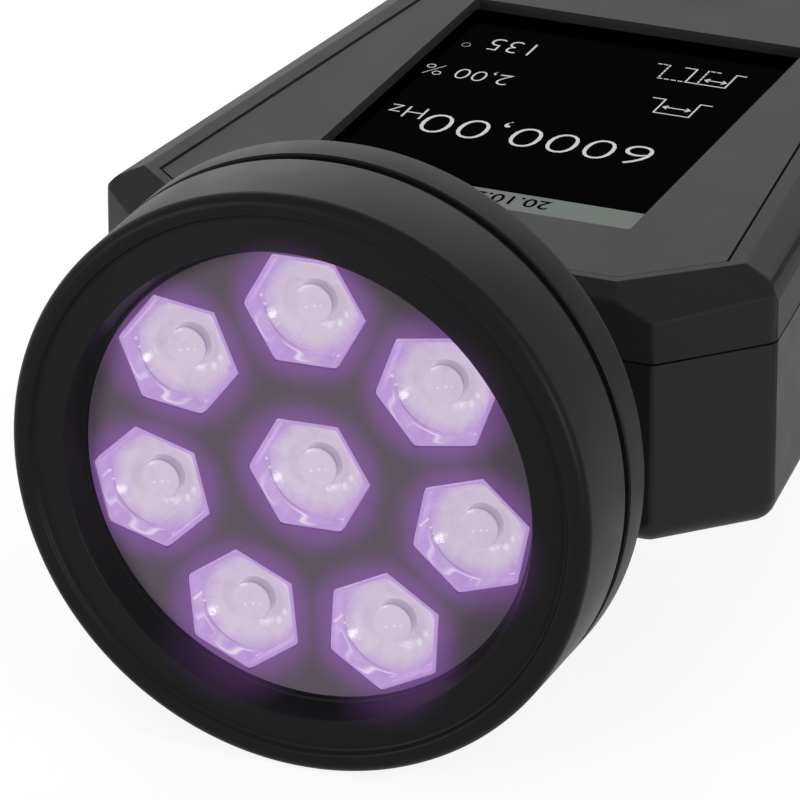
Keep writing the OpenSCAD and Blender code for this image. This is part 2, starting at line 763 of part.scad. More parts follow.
// A key: cap, flange under the top and a stem over its switch.
module key(n) color("#8a8a8e") translate([keys[n].x, keypad_mid + keys[n].y, 0]) {
    cap_top = case_h - panel_drop + key_proud;
    translate([0, 0, key_under]) linear_extrude(cap_top - lead_in - key_under)
        rounded_rect(key_w, key_len, key_r);
    translate([0, 0, cap_top - lead_in - 0.01]) linear_extrude(lead_in + 0.01)
        rounded_rect(key_w - 2 * lead_in, key_len - 2 * lead_in, key_r - lead_in);
    translate([0, 0, key_under]) linear_extrude(key_flange_t)
        rounded_rect(key_w + 2 * key_flange, key_len + 2 * key_flange, key_r + key_flange);
    post(stem_r, key_under - key_stem_h, key_under + 0.1);
}

module key_board() color("#1f5a34") difference() {
    block([0, keypad_mid, key_board_top - board_t], [key_board_w, key_board_len, board_t]);
    at_keypad_posts() post(keypad_screw_r + fit, key_board_top - board_t - 1, key_board_top + 1);
}
module key_switches() color("#c0c0c4") at_keys() {
    block([0, 0, key_board_top], [switch_w, switch_w, switch_h - plunger_h]);
    post(plunger_r, key_board_top, switch_top);
}
module keypad_screws() color("#b8b8bc") at_keypad_posts() {
    seat = key_board_top - board_t;
    post(small_head_r, seat - small_head_h, seat);
    post(keypad_screw_r, seat - 0.1, key_board_top + keypad_screw_grip);
}

module battery_cell(s) color("#2f6fb0")
    translate([s * cell_x, back(cell_back), cell_z]) rotate([-90, 0, 0]) cylinder(r = cell_r, h = cell_len);

module battery_holder() color("#202022") {
    holder_w = 4 * cell_r + cell_gap + 2 * fit + 2 * holder_wall;
    end_h = cell_z - floor_z + holder_end_up;
    side_h = cell_z - floor_z + holder_side_up;
    holder_len = cell_len + 2 * (contact_t + holder_wall);
    mid = back(cell_back) + cell_len / 2;
    block([0, mid, floor_z], [holder_w, holder_len, holder_wall]);
    for (s = [-1, 1]) {
        block([0, mid + s * (holder_len - holder_wall) / 2, floor_z], [holder_w, holder_wall, end_h]);
        block([s * (holder_w - holder_wall) / 2, mid, floor_z], [holder_wall, holder_len, side_h]);
    }
}
module battery_contacts() color("#c8c8c8") for (s = [-1, 1], e = [-1, 1])
    block(
        [s * cell_x, back(cell_back) + cell_len / 2 + e * (cell_len + contact_t) / 2, cell_z - contact_low],
        [contact_w, contact_t, contact_w]
    );

module port_board() color("#1f5a34")
    block([0, port_board_mid, port_top - board_t], [2 * (port_x + port_leg_w), port_board_len, board_t]);

module usb_socket() color("#c4c6ca") translate([port_x, rear_y - port_recess, port_top]) {
    difference() {
        translate([-usb_w / 2, -usb_len, 0]) cube([usb_w, usb_len, usb_h]);
        translate([-usb_w / 2 + usb_skin, 3 * usb_skin - usb_len, usb_skin])
            cube([usb_w - 2 * usb_skin, usb_len, usb_h - 2 * usb_skin]);
    }
    translate([-usb_w / 2 + 2 * tongue_t, 1 - usb_len, (usb_h - tongue_t) / 2])
        cube([usb_w - 4 * tongue_t, usb_len - 2, tongue_t]);
}

module trigger_socket() color("#1a1a1c") translate([-port_x, rear_y + jack_proud, port_top]) difference() {
    union() {
        block(
            [0, -jack_proud - wall - fit - jack_body_len / 2, 0],
            [jack_body_w, jack_body_len, 2 * jack_lift]
        );
        translate([0, 0, jack_lift]) rotate([90, 0, 0]) cylinder(r = jack_nose_r, h = wall + jack_proud + 1);
    }
    translate([0, 1, jack_lift]) rotate([90, 0, 0]) cylinder(r = jack_r, h = jack_depth + 1);
}

module case_screws() color("#b8b8bc") at_bosses() {
    head_z = screw_seat - screw_head_h;
    difference() {
        post(screw_head_r, head_z, screw_seat);
        translate([0, 0, head_z - 1]) cylinder(r = hex_key_r, h = screw_head_h, $fn = 6);
    }
    post(case_screw_r, screw_seat - 0.1, parting_h + screw_grip);
}

module tripod_insert() color("#c9a64a") difference() {
    post(insert_r, 0, tripod_depth + insert_roof);
    post(tripod_r, -1, tripod_depth);
}

lamp_front_ring();
lamp_rear_ring();
groove_seal();
lamp_housing();
lens_plate();
lens(0);  // lens_1
lens(1);  // lens_2
lens(2);  // lens_3
lens(3);  // lens_4
lens(4);  // lens_5
lens(5);  // lens_6
lens(6);  // lens_7
lens(7);  // lens_8
led(0);  // led_1
led(1);  // led_2
led(2);  // led_3
led(3);  // led_4
led(4);  // led_5
led(5);  // led_6
led(6);  // led_7
led(7);  // led_8
led_board();
heat_sink();
board_screws();
lamp_lead();
top_shell();
bottom_shell();
front_panel();
display_gasket();
display_screen();
display_module();
main_board();
board_parts();
board_spacers();
key(0);  // key_up
key(1);  // key_down
key(2);  // key_left
key(3);  // key_right
key(4);  // key_enter
key(5);  // key_back
key(6);  // key_power
key_board();
key_switches();
keypad_screws();
battery_cell(-1);  // battery_cell_1
battery_cell(1);  // battery_cell_2
battery_holder();
battery_contacts();
port_board();
usb_socket();
trigger_socket();
case_screws();
tripod_insert();
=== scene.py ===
"""Looks of a handheld stroboscope with a round ultraviolet lamp head, built round its CAD model.

Everything is in metres in the CAD's frame: the lamp shines along -Y, the display faces +Z. Sizes
that a user would change are in property groups, one operator makes each group of pieces, and
new pieces are surfaces worked out as whole arrays.
"""

import itertools
import math

import bmesh
import bpy
import numpy as np
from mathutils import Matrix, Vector


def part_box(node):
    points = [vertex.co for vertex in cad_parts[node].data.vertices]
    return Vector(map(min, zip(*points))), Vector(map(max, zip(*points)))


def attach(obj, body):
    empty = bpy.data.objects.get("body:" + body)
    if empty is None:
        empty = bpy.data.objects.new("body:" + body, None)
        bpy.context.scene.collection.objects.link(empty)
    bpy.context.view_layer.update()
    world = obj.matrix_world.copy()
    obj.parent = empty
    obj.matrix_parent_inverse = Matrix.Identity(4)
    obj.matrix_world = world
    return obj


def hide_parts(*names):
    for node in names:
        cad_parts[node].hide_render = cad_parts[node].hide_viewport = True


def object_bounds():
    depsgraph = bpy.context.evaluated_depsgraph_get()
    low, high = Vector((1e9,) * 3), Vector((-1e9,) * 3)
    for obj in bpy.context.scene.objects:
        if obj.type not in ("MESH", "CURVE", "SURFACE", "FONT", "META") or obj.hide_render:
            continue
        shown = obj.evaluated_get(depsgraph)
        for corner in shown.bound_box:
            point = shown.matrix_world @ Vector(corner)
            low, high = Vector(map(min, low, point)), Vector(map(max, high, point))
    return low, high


bl_info = {
    "name": "Stroboscope looks",
    "version": (1, 0, 0),
    "blender": (4, 5, 0),
    "location": "3D View > Sidebar > Stroboscope",
    "description": "Builds the visible pieces, finishes and studio of a handheld stroboscope",
    "category": "Object",
}

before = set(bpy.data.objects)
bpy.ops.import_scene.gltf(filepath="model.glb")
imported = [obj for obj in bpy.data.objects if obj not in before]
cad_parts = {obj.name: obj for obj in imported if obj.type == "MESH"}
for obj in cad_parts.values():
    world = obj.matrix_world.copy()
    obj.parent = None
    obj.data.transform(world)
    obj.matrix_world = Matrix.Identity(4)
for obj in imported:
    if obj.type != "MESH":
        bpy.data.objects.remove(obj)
CAD_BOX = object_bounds()
MM = 0.001


def middle(node):
    """The middle of a node's box."""
    low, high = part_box(node)
    return (np.array(low) + np.array(high)) / 2


# Places that the CAD model fixes.
RING_LOW, RING_HIGH = (Vector(corner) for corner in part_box("lamp_front_ring"))
LIP_Y = RING_LOW.y
LAMP_X = (RING_LOW.x + RING_HIGH.x) / 2
LAMP_Z = (RING_LOW.z + RING_HIGH.z) / 2
LAMP_R = (RING_HIGH.z - RING_LOW.z) / 2
RING_LEN = RING_HIGH.y - RING_LOW.y
GLASS_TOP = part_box("display_screen")[1][2]
LENSES = [f"lens_{number}" for number in range(1, 9)]
# The middles of the lenses, at the front of the plate.
LENS_CENTRES = np.array([middle(name) for name in LENSES])
LENS_CENTRES[:, 1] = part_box("lens_plate")[0][1]
KEYS = ["up", "down", "left", "right", "enter", "back", "power"]

# The case's walls are numbered round its outline from the right front corner. These are the sides
# and the rear; the others are the front and its corners.
CASE_WALLS = 8
CASE_SIDES = range(1, 6)

RING_FACETS = 256
ARC_STEPS = 8


# Sizes and colours that a user would change.


def length(name, description, default):
    return bpy.props.FloatProperty(
        name=name, description=description, default=default * MM, unit="LENGTH", precision=5
    )


def degrees(name, description, default):
    return bpy.props.FloatProperty(
        name=name, description=description, default=math.radians(default), subtype="ANGLE"
    )


def tint(name, description, default):
    return bpy.props.FloatVectorProperty(
        name=name, description=description, default=default, subtype="COLOR", size=3, min=0, max=1
    )


class LampSizes(bpy.types.PropertyGroup):
    """Sizes of the turned parts of the lamp head."""

    mouth_r: length("Mouth at the plate", "Radius of the mouth where it meets the plate", 34.683)
    lip_r: length("Mouth at the lip", "Radius of the mouth at the lip", 36.383)
    mouth_depth: length("Mouth depth", "Depth of the plate behind the lip", 4.9)
    shoulder_r: length("Shoulder", "Radius of the shoulder at the rim of the face", 1.8)
    crown_w: length("Crown", "Width of the flat crown inside the shoulder", 0.6)
    dish: length("Dish", "Depth of the face between the lip and the crown", 0.9)
    ring_gap: length("Groove", "Width of the groove between the two rings", 1.9)
    rear_len: length("Rear ring", "Length of the rear ring", 5.8)
    wall: length("Ring wall", "Radial wall of the rings over the housing", 1.5)


class LensSizes(bpy.types.PropertyGroup):
    """Sizes of one hexagonal lens."""

    flat_w: length("Width", "Width across the flats", 16.5)
    rim: length("Rim", "Wall round the recess", 0.7)
    recess: length("Recess", "Depth of the recess", 2.5)
    bowl: length("Bowl", "Depth of the bowl under the recess", 2.6)
    boss_r: length("Boss", "Radius of the boss in the bowl", 2.95)
    boss_h: length("Boss height", "Height of the boss", 2.2)
    halo: length("Glow", "How far the light spreads on the plate round a lens", 5.2)


class CaseSizes(bpy.types.PropertyGroup):
    """Sizes of the case, the roundings of its edges and the prints."""

    front_half_w: length("Front", "Half the width of the front wall", 39.8)
    head_half_w: length("Head", "Half the width behind the cut-off front corners", 53.6)
    corner_len: length("Front corners", "Length of the cut-off front corners", 14.6)
    rear_half_w: length("Rear", "Half the width before the rear corners", 35.2)
    rear_corner: length("Rear corners", "Width and length of the cut-off rear corners", 9)
    top_front_half_w: length("Top front", "Half the width of the top face at its front edge", 33.0)
    front_bevel_w: length("Front bevel", "Width of the bevel along the front", 2.8)
    side_bevel_w: length("Side bevels", "Width of the bevels along the sides and the rear", 5.4)
    bevel_slope: degrees("Front slope", "Slope of the bevels at the front and its corners", 34)
    side_slope: degrees("Side slope", "Slope of the bevels along the sides and the rear", 26)
    corner_heading: degrees("Corner heading", "Heading of the top face's cut-off corners", 42)
    upright_front_r: length("Front uprights", "Radius of the upright edges at the front wall", 1.5)
    upright_r: length("Other uprights", "Radius of the other upright edges", 3.0)
    bottom_r: length("Bottom edges", "Radius of the bottom edges", 4.0)
    shoulder_r: length("Side shoulders", "Radius between the walls and the side bevels", 4.0)
    front_r: length("Front shoulders", "Radius between the walls and the front bevels", 0.8)
    rim_r: length("Side rims", "Radius between the side bevels and the top", 2.0)
    front_rim_r: length("Front rims", "Radius between the front bevels and the top", 0.5)
    ridge_r: length("Ridges", "Radius between neighbouring bevels", 1.2)
    print_h: length("Print", "Thickness of printed marks", 0.02)
    line_w: length("Line", "Width of the lines on the display", 0.25)


class Finishes(bpy.types.PropertyGroup):
    """Colours of the finishes, and of the painted light and shade on the lenses, plate and rings.
    """

    ring: tint("Rings", "Colour of the lamp rings", (0.0112, 0.0112, 0.0117))
    top: tint("Upper shell", "Colour of the upper shell", (0.028, 0.028, 0.0285))
    lower: tint("Lower shell", "Colour of the lower shell", (0.016, 0.016, 0.0165))
    panel: tint("Panel", "Colour of the front panel", (0.032, 0.032, 0.0325))
    plate: tint("Plate", "Colour of the lens plate", (0.165, 0.132, 0.170))
    # Painted light: the plate's colour where the lenses' light is painted on it, and the glow
    # painted as emission on the plate and the rings.
    plate_painted_light: tint("Lit plate", "Colour of the plate where light falls on it", (0.16, 0.10, 0.20))
    painted_glow: tint("Light", "Colour of the light on what is near a lens", (0.262, 0.083, 0.40))
    lens_edge: tint("Lens edge", "Colour of a lit lens near its edge", (0.55, 0.35, 0.72))
    lens_core: tint("Lens middle", "Colour of a lit lens in its middle", (0.70, 0.60, 0.75))
    # Painted shade on the wall of each lens's boss.
    lens_shade: tint("Boss wall", "Colour of the wall of a lit lens's boss", (0.27, 0.21, 0.34))
    digits: tint("Readout", "Colour of the readout", (0.56, 0.57, 0.56))
    bar: tint("Status bar", "Colour of the display's status bar", (0.168, 0.188, 0.174))


# Surfaces worked out as whole arrays.


def unit(vectors):
    """The vectors made one long."""
    return vectors / np.linalg.norm(vectors, axis=-1, keepdims=True)


def filleted(corners, radii, steps):
    """A line with rounded corners: each corner is replaced by an arc that touches both sides.

    The arc starts r * tan(turn / 2) before its corner and ends as far after it; its points lie
    at equal angles round the centre. A radius of 0 keeps the corner. Points are (a, b) pairs.
    """
    p = np.array(corners, float)
    r = np.array(radii, float)[:, None]
    before = unit(np.diff(p, axis=0, prepend=2 * p[:1] - p[1:2]))
    after = unit(np.diff(p, axis=0, append=2 * p[-1:] - p[-2:-1]))
    cross = before[:, 0] * after[:, 1] - before[:, 1] * after[:, 0]
    turn = np.arctan2(cross, (before * after).sum(axis=1))
    start = p - before * r * np.tan(np.abs(turn) / 2)[:, None]
    side = np.sign(turn)[:, None]
    inward = np.stack([-before[:, 1], before[:, 0]], axis=1) * side
    centre = start + inward * r
    angle = turn[:, None] * np.linspace(0, 1, steps + 1)[None]
    cos, sin = np.cos(angle), np.sin(angle)
    arm = -inward * r
    a, b = arm[:, :1], arm[:, 1:]
    swung = np.stack([a * cos - b * sin, a * sin + b * cos], -1)
    line = (centre[:, None] + swung).reshape(-1, 2)
    keep = np.append(True, np.linalg.norm(np.diff(line, axis=0), axis=1) > 1e-9)
    return line[keep]


def closed_profile(corners, radii, steps):
    """A closed profile with rounded corners: the line starts and ends in the middle of a side."""
    first = (np.array(corners[0], float) + np.array(corners[-1], float)) / 2
    line = filleted([first, *corners, first], [0, *radii, 0], steps)
    return line[:-1]


def grid_faces(rows, cols, wrap_rows):
    """Corner numbers of the faces of a grid of points, closed over its columns, and over its rows
    where asked."""
    row = np.arange(rows if wrap_rows else rows - 1)
    row, col = np.meshgrid(row, np.arange(cols), indexing="ij")
    row_start, next_start = row * cols, (row + 1) % rows * cols
    next_col = (col + 1) % cols
    corners = [row_start + col, row_start + next_col, next_start + next_col, next_start + col]
    return np.stack(corners, axis=-1).reshape(-1, 4)


def put_in_scene(name, data):
    """A new object at the origin."""
    thing = bpy.data.objects.new(name, data)
    bpy.context.scene.collection.objects.link(thing)
    return thing


def worked_out(thing):
    """The mesh of an object with its modifiers, or of its text."""
    final = thing.evaluated_get(bpy.context.evaluated_depsgraph_get())
    return bpy.data.meshes.new_from_object(final)


def smooth(mesh, below):
    """Shades a mesh smoothly over its edges of less than an angle in degrees."""
    mesh.polygons.foreach_set("use_smooth", [True] * len(mesh.polygons))
    mesh.set_sharp_from_angle(angle=math.radians(below))


def add_piece(name, verts, faces, finish, slot, body="instrument", smooth_below=35):
    """Makes a piece of the object from its points and faces."""
    mesh = bpy.data.meshes.new(name)
    mesh.from_pydata(np.asarray(verts, float).tolist(), [], [list(face) for face in faces])
    mesh.validate()
    smooth(mesh, smooth_below)
    mesh.materials.append(finish.material)
    piece = put_in_scene(name, mesh)
    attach(piece, body)
    return piece


def turned(name, node, profile, finish, slot):
    """A closed profile of (radius, depth) carried round the lamp's axis, in place of a node.

    The point at angle u is (radius * sin u, lip + depth, radius * cos u) from the axis.
    """
    u = np.linspace(0, 2 * math.pi, RING_FACETS, endpoint=False)[:, None]
    radius, depth = profile[None, :, 0], profile[None, :, 1]
    points = np.stack(
        [LAMP_X + radius * np.sin(u), LIP_Y + depth + 0 * u, LAMP_Z + radius * np.cos(u)], axis=-1
    )
    faces = grid_faces(RING_FACETS, len(profile), True)[:, ::-1]
    piece = add_piece(name, points.reshape(-1, 3), faces, finish, slot)
    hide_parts(node)


def case_planes(s, inset):
    """Outward planes of the case, each a normal and a distance: eight walls, eight bevels, top
    and bottom.

    A wall stands on each edge of the outline. The top face's edges are the outline's, drawn in by
    the bevels' widths, except the two cut-off corners, which run at their own heading from the
    front edge's end. A bevel falls outwards from each edge of the top face at its own slope.
    """
    low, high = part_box("bottom_shell")[0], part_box("top_shell")[1]
    front, rear, bottom, top = low[1], high[1], low[2], high[2]
    half = np.array(
        [
            (s.front_half_w, front), (s.head_half_w, front + s.corner_len),
            (s.rear_half_w, rear - s.rear_corner), (s.rear_half_w - s.rear_corner, rear),
        ]
    )
    outline = np.concatenate([half, half[::-1] * (-1, 1)])
    along = unit(np.roll(outline, -1, axis=0) - outline)
    out = np.stack([along[:, 1], -along[:, 0]], -1)
    reach = (out * outline).sum(axis=1)
    side = np.isin(np.arange(CASE_WALLS), CASE_SIDES)
    slope = np.where(side, s.side_slope, s.bevel_slope)
    top_reach = reach - np.where(side, s.side_bevel_w, s.front_bevel_w)
    top_out = out.copy()
    sin, cos = math.sin(s.corner_heading), math.cos(s.corner_heading)
    corners = [0, CASE_WALLS - 2]
    top_out[corners] = (sin, -cos), (-sin, -cos)
    top_reach[corners] = sin * s.top_front_half_w - cos * (front + s.front_bevel_w)
    walls = np.column_stack([out, np.zeros(CASE_WALLS), reach])
    rise = np.cos(slope)
    bevels = np.column_stack(
        [top_out * np.sin(slope)[:, None], rise, np.sin(slope) * top_reach + rise * top]
    )
    planes = np.concatenate([walls, bevels, [(0, 0, 1, top), (0, 0, -1, -bottom)]])
    planes[:, 3] -= inset
    return planes


def case_radii(s):
    """The radius of the edge between any two of the case's planes, as a symmetric table."""
    top, bottom = 2 * CASE_WALLS, 2 * CASE_WALLS + 1
    table = np.full((bottom + 1, bottom + 1), s.front_r)
    wall = np.arange(CASE_WALLS)
    bevel = wall + CASE_WALLS
    after = (wall + 1) % CASE_WALLS
    side = np.isin(wall, CASE_SIDES)
    front = wall >= CASE_WALLS - 2
    for first, second, radius in (
        (wall, after, np.where(front, s.upright_front_r, s.upright_r)),
        (bevel, after + CASE_WALLS, np.where(front, s.front_r, s.ridge_r)),
        (wall, bevel, np.where(side, s.shoulder_r, s.front_r)),
        (bevel, top, np.where(side, s.rim_r, s.front_rim_r)),
        (wall, bottom, s.bottom_r),
    ):
        table[first, second] = table[second, first] = radius
    return table


def rounded_solid(planes, radii):
    """Points whose convex hull is the solid inside the planes, with rounded edges.

    A corner is where three planes meet behind all others. A ball at each corner touches its three
    planes, with the largest radius of the three edges: its points are the centre plus the radius
    times even mixes of the three normals, made unit length. At the ball's place along each of the
    three edges lies an arc of that edge's own radius, from one plane's normal to the other's.
    """
    normals, reach = planes[:, :3], planes[:, 3]
    sets = np.array(list(itertools.combinations(range(len(planes)), 3)))
    sets = sets[np.abs(np.linalg.det(normals[sets])) > 1e-3]
    corners = np.linalg.solve(normals[sets], reach[sets][..., None])[..., 0]
    sets = sets[(corners @ normals.T < reach + 1e-6).all(axis=1)]
    own, far = normals[sets], reach[sets]
    pairs = ((0, 1), (1, 2), (2, 0))
    edge_r = np.stack([radii[sets[:, a], sets[:, b]] for a, b in pairs], 1)
    ball_r = edge_r.max(axis=1)
    centres = np.linalg.solve(own, (far - ball_r[:, None])[..., None])[..., 0]
    share = np.linspace(0, 1, ARC_STEPS + 1)
    first, second = np.meshgrid(share, share)
    inside = first + second < 1 + 1e-9
    weights = np.stack([first[inside], second[inside], 1 - first[inside] - second[inside]], -1)
    mixed = unit(np.einsum("kw,mwc->mkc", weights, own))
    points = [(centres[:, None] + ball_r[:, None, None] * mixed).reshape(-1, 3)]
    for edge, (a, b) in enumerate(pairs):
        one, two, r = own[:, a], own[:, b], edge_r[:, edge]
        along = np.cross(one, two)
        place = np.stack([far[:, a] - r, far[:, b] - r, (along * centres).sum(axis=1)], 1)
        axis = np.linalg.solve(np.stack([one, two, along], 1), place[..., None])[..., 0]
        mixed = unit(one[:, None] * (1 - share[:, None]) + two[:, None] * share[:, None])
        points.append((axis[:, None] + r[:, None, None] * mixed).reshape(-1, 3))
    points = np.concatenate(points)
    return points[(points @ normals.T < reach + 1e-7).all(axis=1)]


def hull_object(name, points):
    """The convex hull of some points as an object."""
    mesh = bpy.data.meshes.new(name)
    mesh.from_pydata(points.tolist(), [], [])
    shape = bmesh.new()
    shape.from_mesh(mesh)
    bmesh.ops.remove_doubles(shape, verts=shape.verts, dist=2e-6)
    made = bmesh.ops.convex_hull(shape, input=shape.verts)
    left = {*made["geom_interior"], *made["geom_unused"]}
    left = [part for part in left if isinstance(part, bmesh.types.BMVert)]
    bmesh.ops.delete(shape, geom=left, context="VERTS")
    bmesh.ops.dissolve_limit(
        shape, angle_limit=math.radians(0.1), verts=shape.verts, edges=shape.edges
    )
    bmesh.ops.recalc_face_normals(shape, faces=shape.faces)
    shape.to_mesh(mesh)
    shape.free()
    return put_in_scene(name, mesh)


def softened(name, node, hull, finish):
    """A merged copy of a CAD shell, cut to a rounded hull of the case, in place of the shell."""
    mesh = bpy.data.meshes.new(name)
    shape = bmesh.new()
    shape.from_mesh(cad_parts[node].data)
    bmesh.ops.remove_doubles(shape, verts=shape.verts, dist=1e-6)
    for layer in list(shape.loops.layers.uv):
        shape.loops.layers.uv.remove(layer)
    shape.to_mesh(mesh)
    shape.free()
    mesh.materials.clear()
    piece = put_in_scene(name, mesh)
    cut = piece.modifiers.new("rounding", "BOOLEAN")
    cut.operation = "INTERSECT"
    cut.solver = "EXACT"
    cut.object = hull
    bpy.context.view_layer.update()
    soft = worked_out(piece)
    piece.modifiers.clear()
    piece.data = soft
    bpy.data.meshes.remove(mesh)
    soft.name = name
    if len(soft.polygons) == 0:
        raise RuntimeError(f"{name} is empty after the cut")
    soft.materials.clear()
    soft.materials.append(finish.material)
    soft.polygons.foreach_set("material_index", [0] * len(soft.polygons))
    smooth(soft, 25)
    even = piece.modifiers.new("even_normals", "WEIGHTED_NORMAL")
    even.keep_sharp = True
    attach(piece, "instrument")
    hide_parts(node)


# Finishes. Each is worked out from the object's own coordinates.


class Nodes:
    """A node tree with helpers that add nodes. A value that a helper takes is another node's
    socket, a number, a vector or a colour."""

    def __init__(self, tree):
        self.nodes, self.links = tree.nodes, tree.links

    def put(self, socket, value):
        if isinstance(value, bpy.types.NodeSocket):
            self.links.new(value, socket)
        elif socket.type == "RGBA":
            socket.default_value = (*value, 1)
        elif value is not None:
            socket.default_value = value

    def node(self, kind, *values, **settings):
        """Adds a node, makes its settings and puts the values into its first sockets."""
        node = self.nodes.new(f"ShaderNode{kind}")
        for name, setting in settings.items():
            setattr(node, name, setting)
        for socket, value in zip(node.inputs, values):
            self.put(socket, value)
        return node

    def feed(self, node, **values):
        """Puts values into a node's sockets, called by their names in small letters."""
        for name, value in values.items():
            label = name.replace("_", " ").title().replace("Ior", "IOR")
            self.put(node.inputs[label], value)

    def math(self, operation, first, second=None, clamp=False):
        return self.node("Math", first, second, operation=operation, use_clamp=clamp).outputs[0]

    def seen(self):
        """1 for what the camera sees directly, in a reflection or through glass, and 0 for light
        that bounces."""
        path = self.node("LightPath").outputs
        seen = self.math("MAXIMUM", path["Is Camera Ray"], path["Is Glossy Ray"])
        return self.math("MAXIMUM", seen, path["Is Transmission Ray"])


class Finish(Nodes):
    """A node material round one Principled shader."""

    def __init__(self, name, **values):
        self.material = bpy.data.materials.new(name)
        self.material.use_nodes = True
        super().__init__(self.material.node_tree)
        self.shader = self.nodes["Principled BSDF"]
        self.place = self.node("TexCoord").outputs["Object"]
        self.set(**values)

    def set(self, **values):
        self.feed(self.shader, **values)

    def ramp(self, value, low, high, to_low=0.0, to_high=1.0):
        """A smooth rise or fall from one number, at low, to another, at high."""
        numbers = (value, low, high, to_low, to_high)
        return self.node("MapRange", *numbers, interpolation_type="SMOOTHSTEP").outputs[0]

    def noise(self, size, detail=3.0, distortion=0.0, place=None):
        """Noise whose grains are about as large as size, in metres."""
        node = self.node("TexNoise", place or self.place)
        self.feed(node, scale=1 / size, detail=detail, roughness=0.55, distortion=distortion)
        return node.outputs["Fac"]

    def mix(self, factor, first, second):
        """The first colour where the factor is 0, the second where it is 1."""
        node = self.node("Mix", data_type="RGBA")
        for number, value in ((0, factor), (6, first), (7, second)):
            self.put(node.inputs[number], value)
        return node.outputs[2]

    def vector(self, operation, first, second=None):
        """Vector maths, which gives a number for a length, a distance and a dot product."""
        outputs = self.node("VectorMath", first, second, operation=operation).outputs
        is_number = operation in ("LENGTH", "DISTANCE", "DOT_PRODUCT")
        return outputs["Value" if is_number else "Vector"]

    def bump(self, height, depth):
        """Relief as deep as depth, in metres."""
        node = self.node("Bump")
        self.feed(node, distance=depth, strength=1.0, height=height)
        self.set(normal=node.outputs["Normal"])

    def near(self, places):
        """Distance from the surface to the nearest of some places."""
        nearest, *others = (self.vector("DISTANCE", self.place, tuple(p)) for p in places)
        for other in others:
            nearest = self.math("MINIMUM", nearest, other)
        return nearest


def shade(colour, factor):
    """A colour made darker or lighter."""
    return tuple(min(1.0, channel * factor) for channel in colour)


def grained(
    name, colour, roughness=0.5, specular=0.25, grain=0.3, depth=0.02, spread=0.03, patch=9.0
):
    """A moulded or coated finish: fine grain in the bump, slow changes in colour and gloss.

    Sizes of grain, its depth and the slow patches are in millimetres.
    """
    finish = Finish(name, specular_ior_level=specular)
    fine = finish.noise(grain * MM, detail=4)
    slow = finish.noise(patch * MM, detail=2)
    mean = finish.math("MULTIPLY", finish.math("ADD", fine, slow), 0.5)
    share = finish.ramp(mean, 0.35, 0.65)
    finish.set(
        base_color=finish.mix(share, shade(colour, 1 - spread), shade(colour, 1 + spread)),
        roughness=finish.ramp(slow, 0.3, 0.7, roughness - 0.015, roughness + 0.015),
    )
    finish.bump(fine, depth * MM)
    return finish


def metal(name, colour, roughness, stretch, grain):
    """A drawn or machined metal: fine lines from noise that is stretched along one direction."""
    finish = Finish(name, metallic=1.0)
    mapping = finish.node("Mapping", finish.place)
    finish.feed(mapping, scale=stretch)
    lines = finish.noise(grain * MM, detail=3, place=mapping.outputs["Vector"])
    finish.set(
        base_color=finish.mix(lines, shade(colour, 0.85), shade(colour, 1.1)),
        roughness=finish.ramp(lines, 0.3, 0.7, roughness - 0.06, roughness + 0.08),
    )
    finish.bump(lines, 0.006 * MM)
    return finish


def dress(finish, *names):
    """Gives CAD nodes a finish in place of their plain colour."""
    for name in names:
        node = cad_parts[name]
        node.data.materials.clear()
        node.data.materials.append(finish.material)


# Operators: one for each group of pieces.


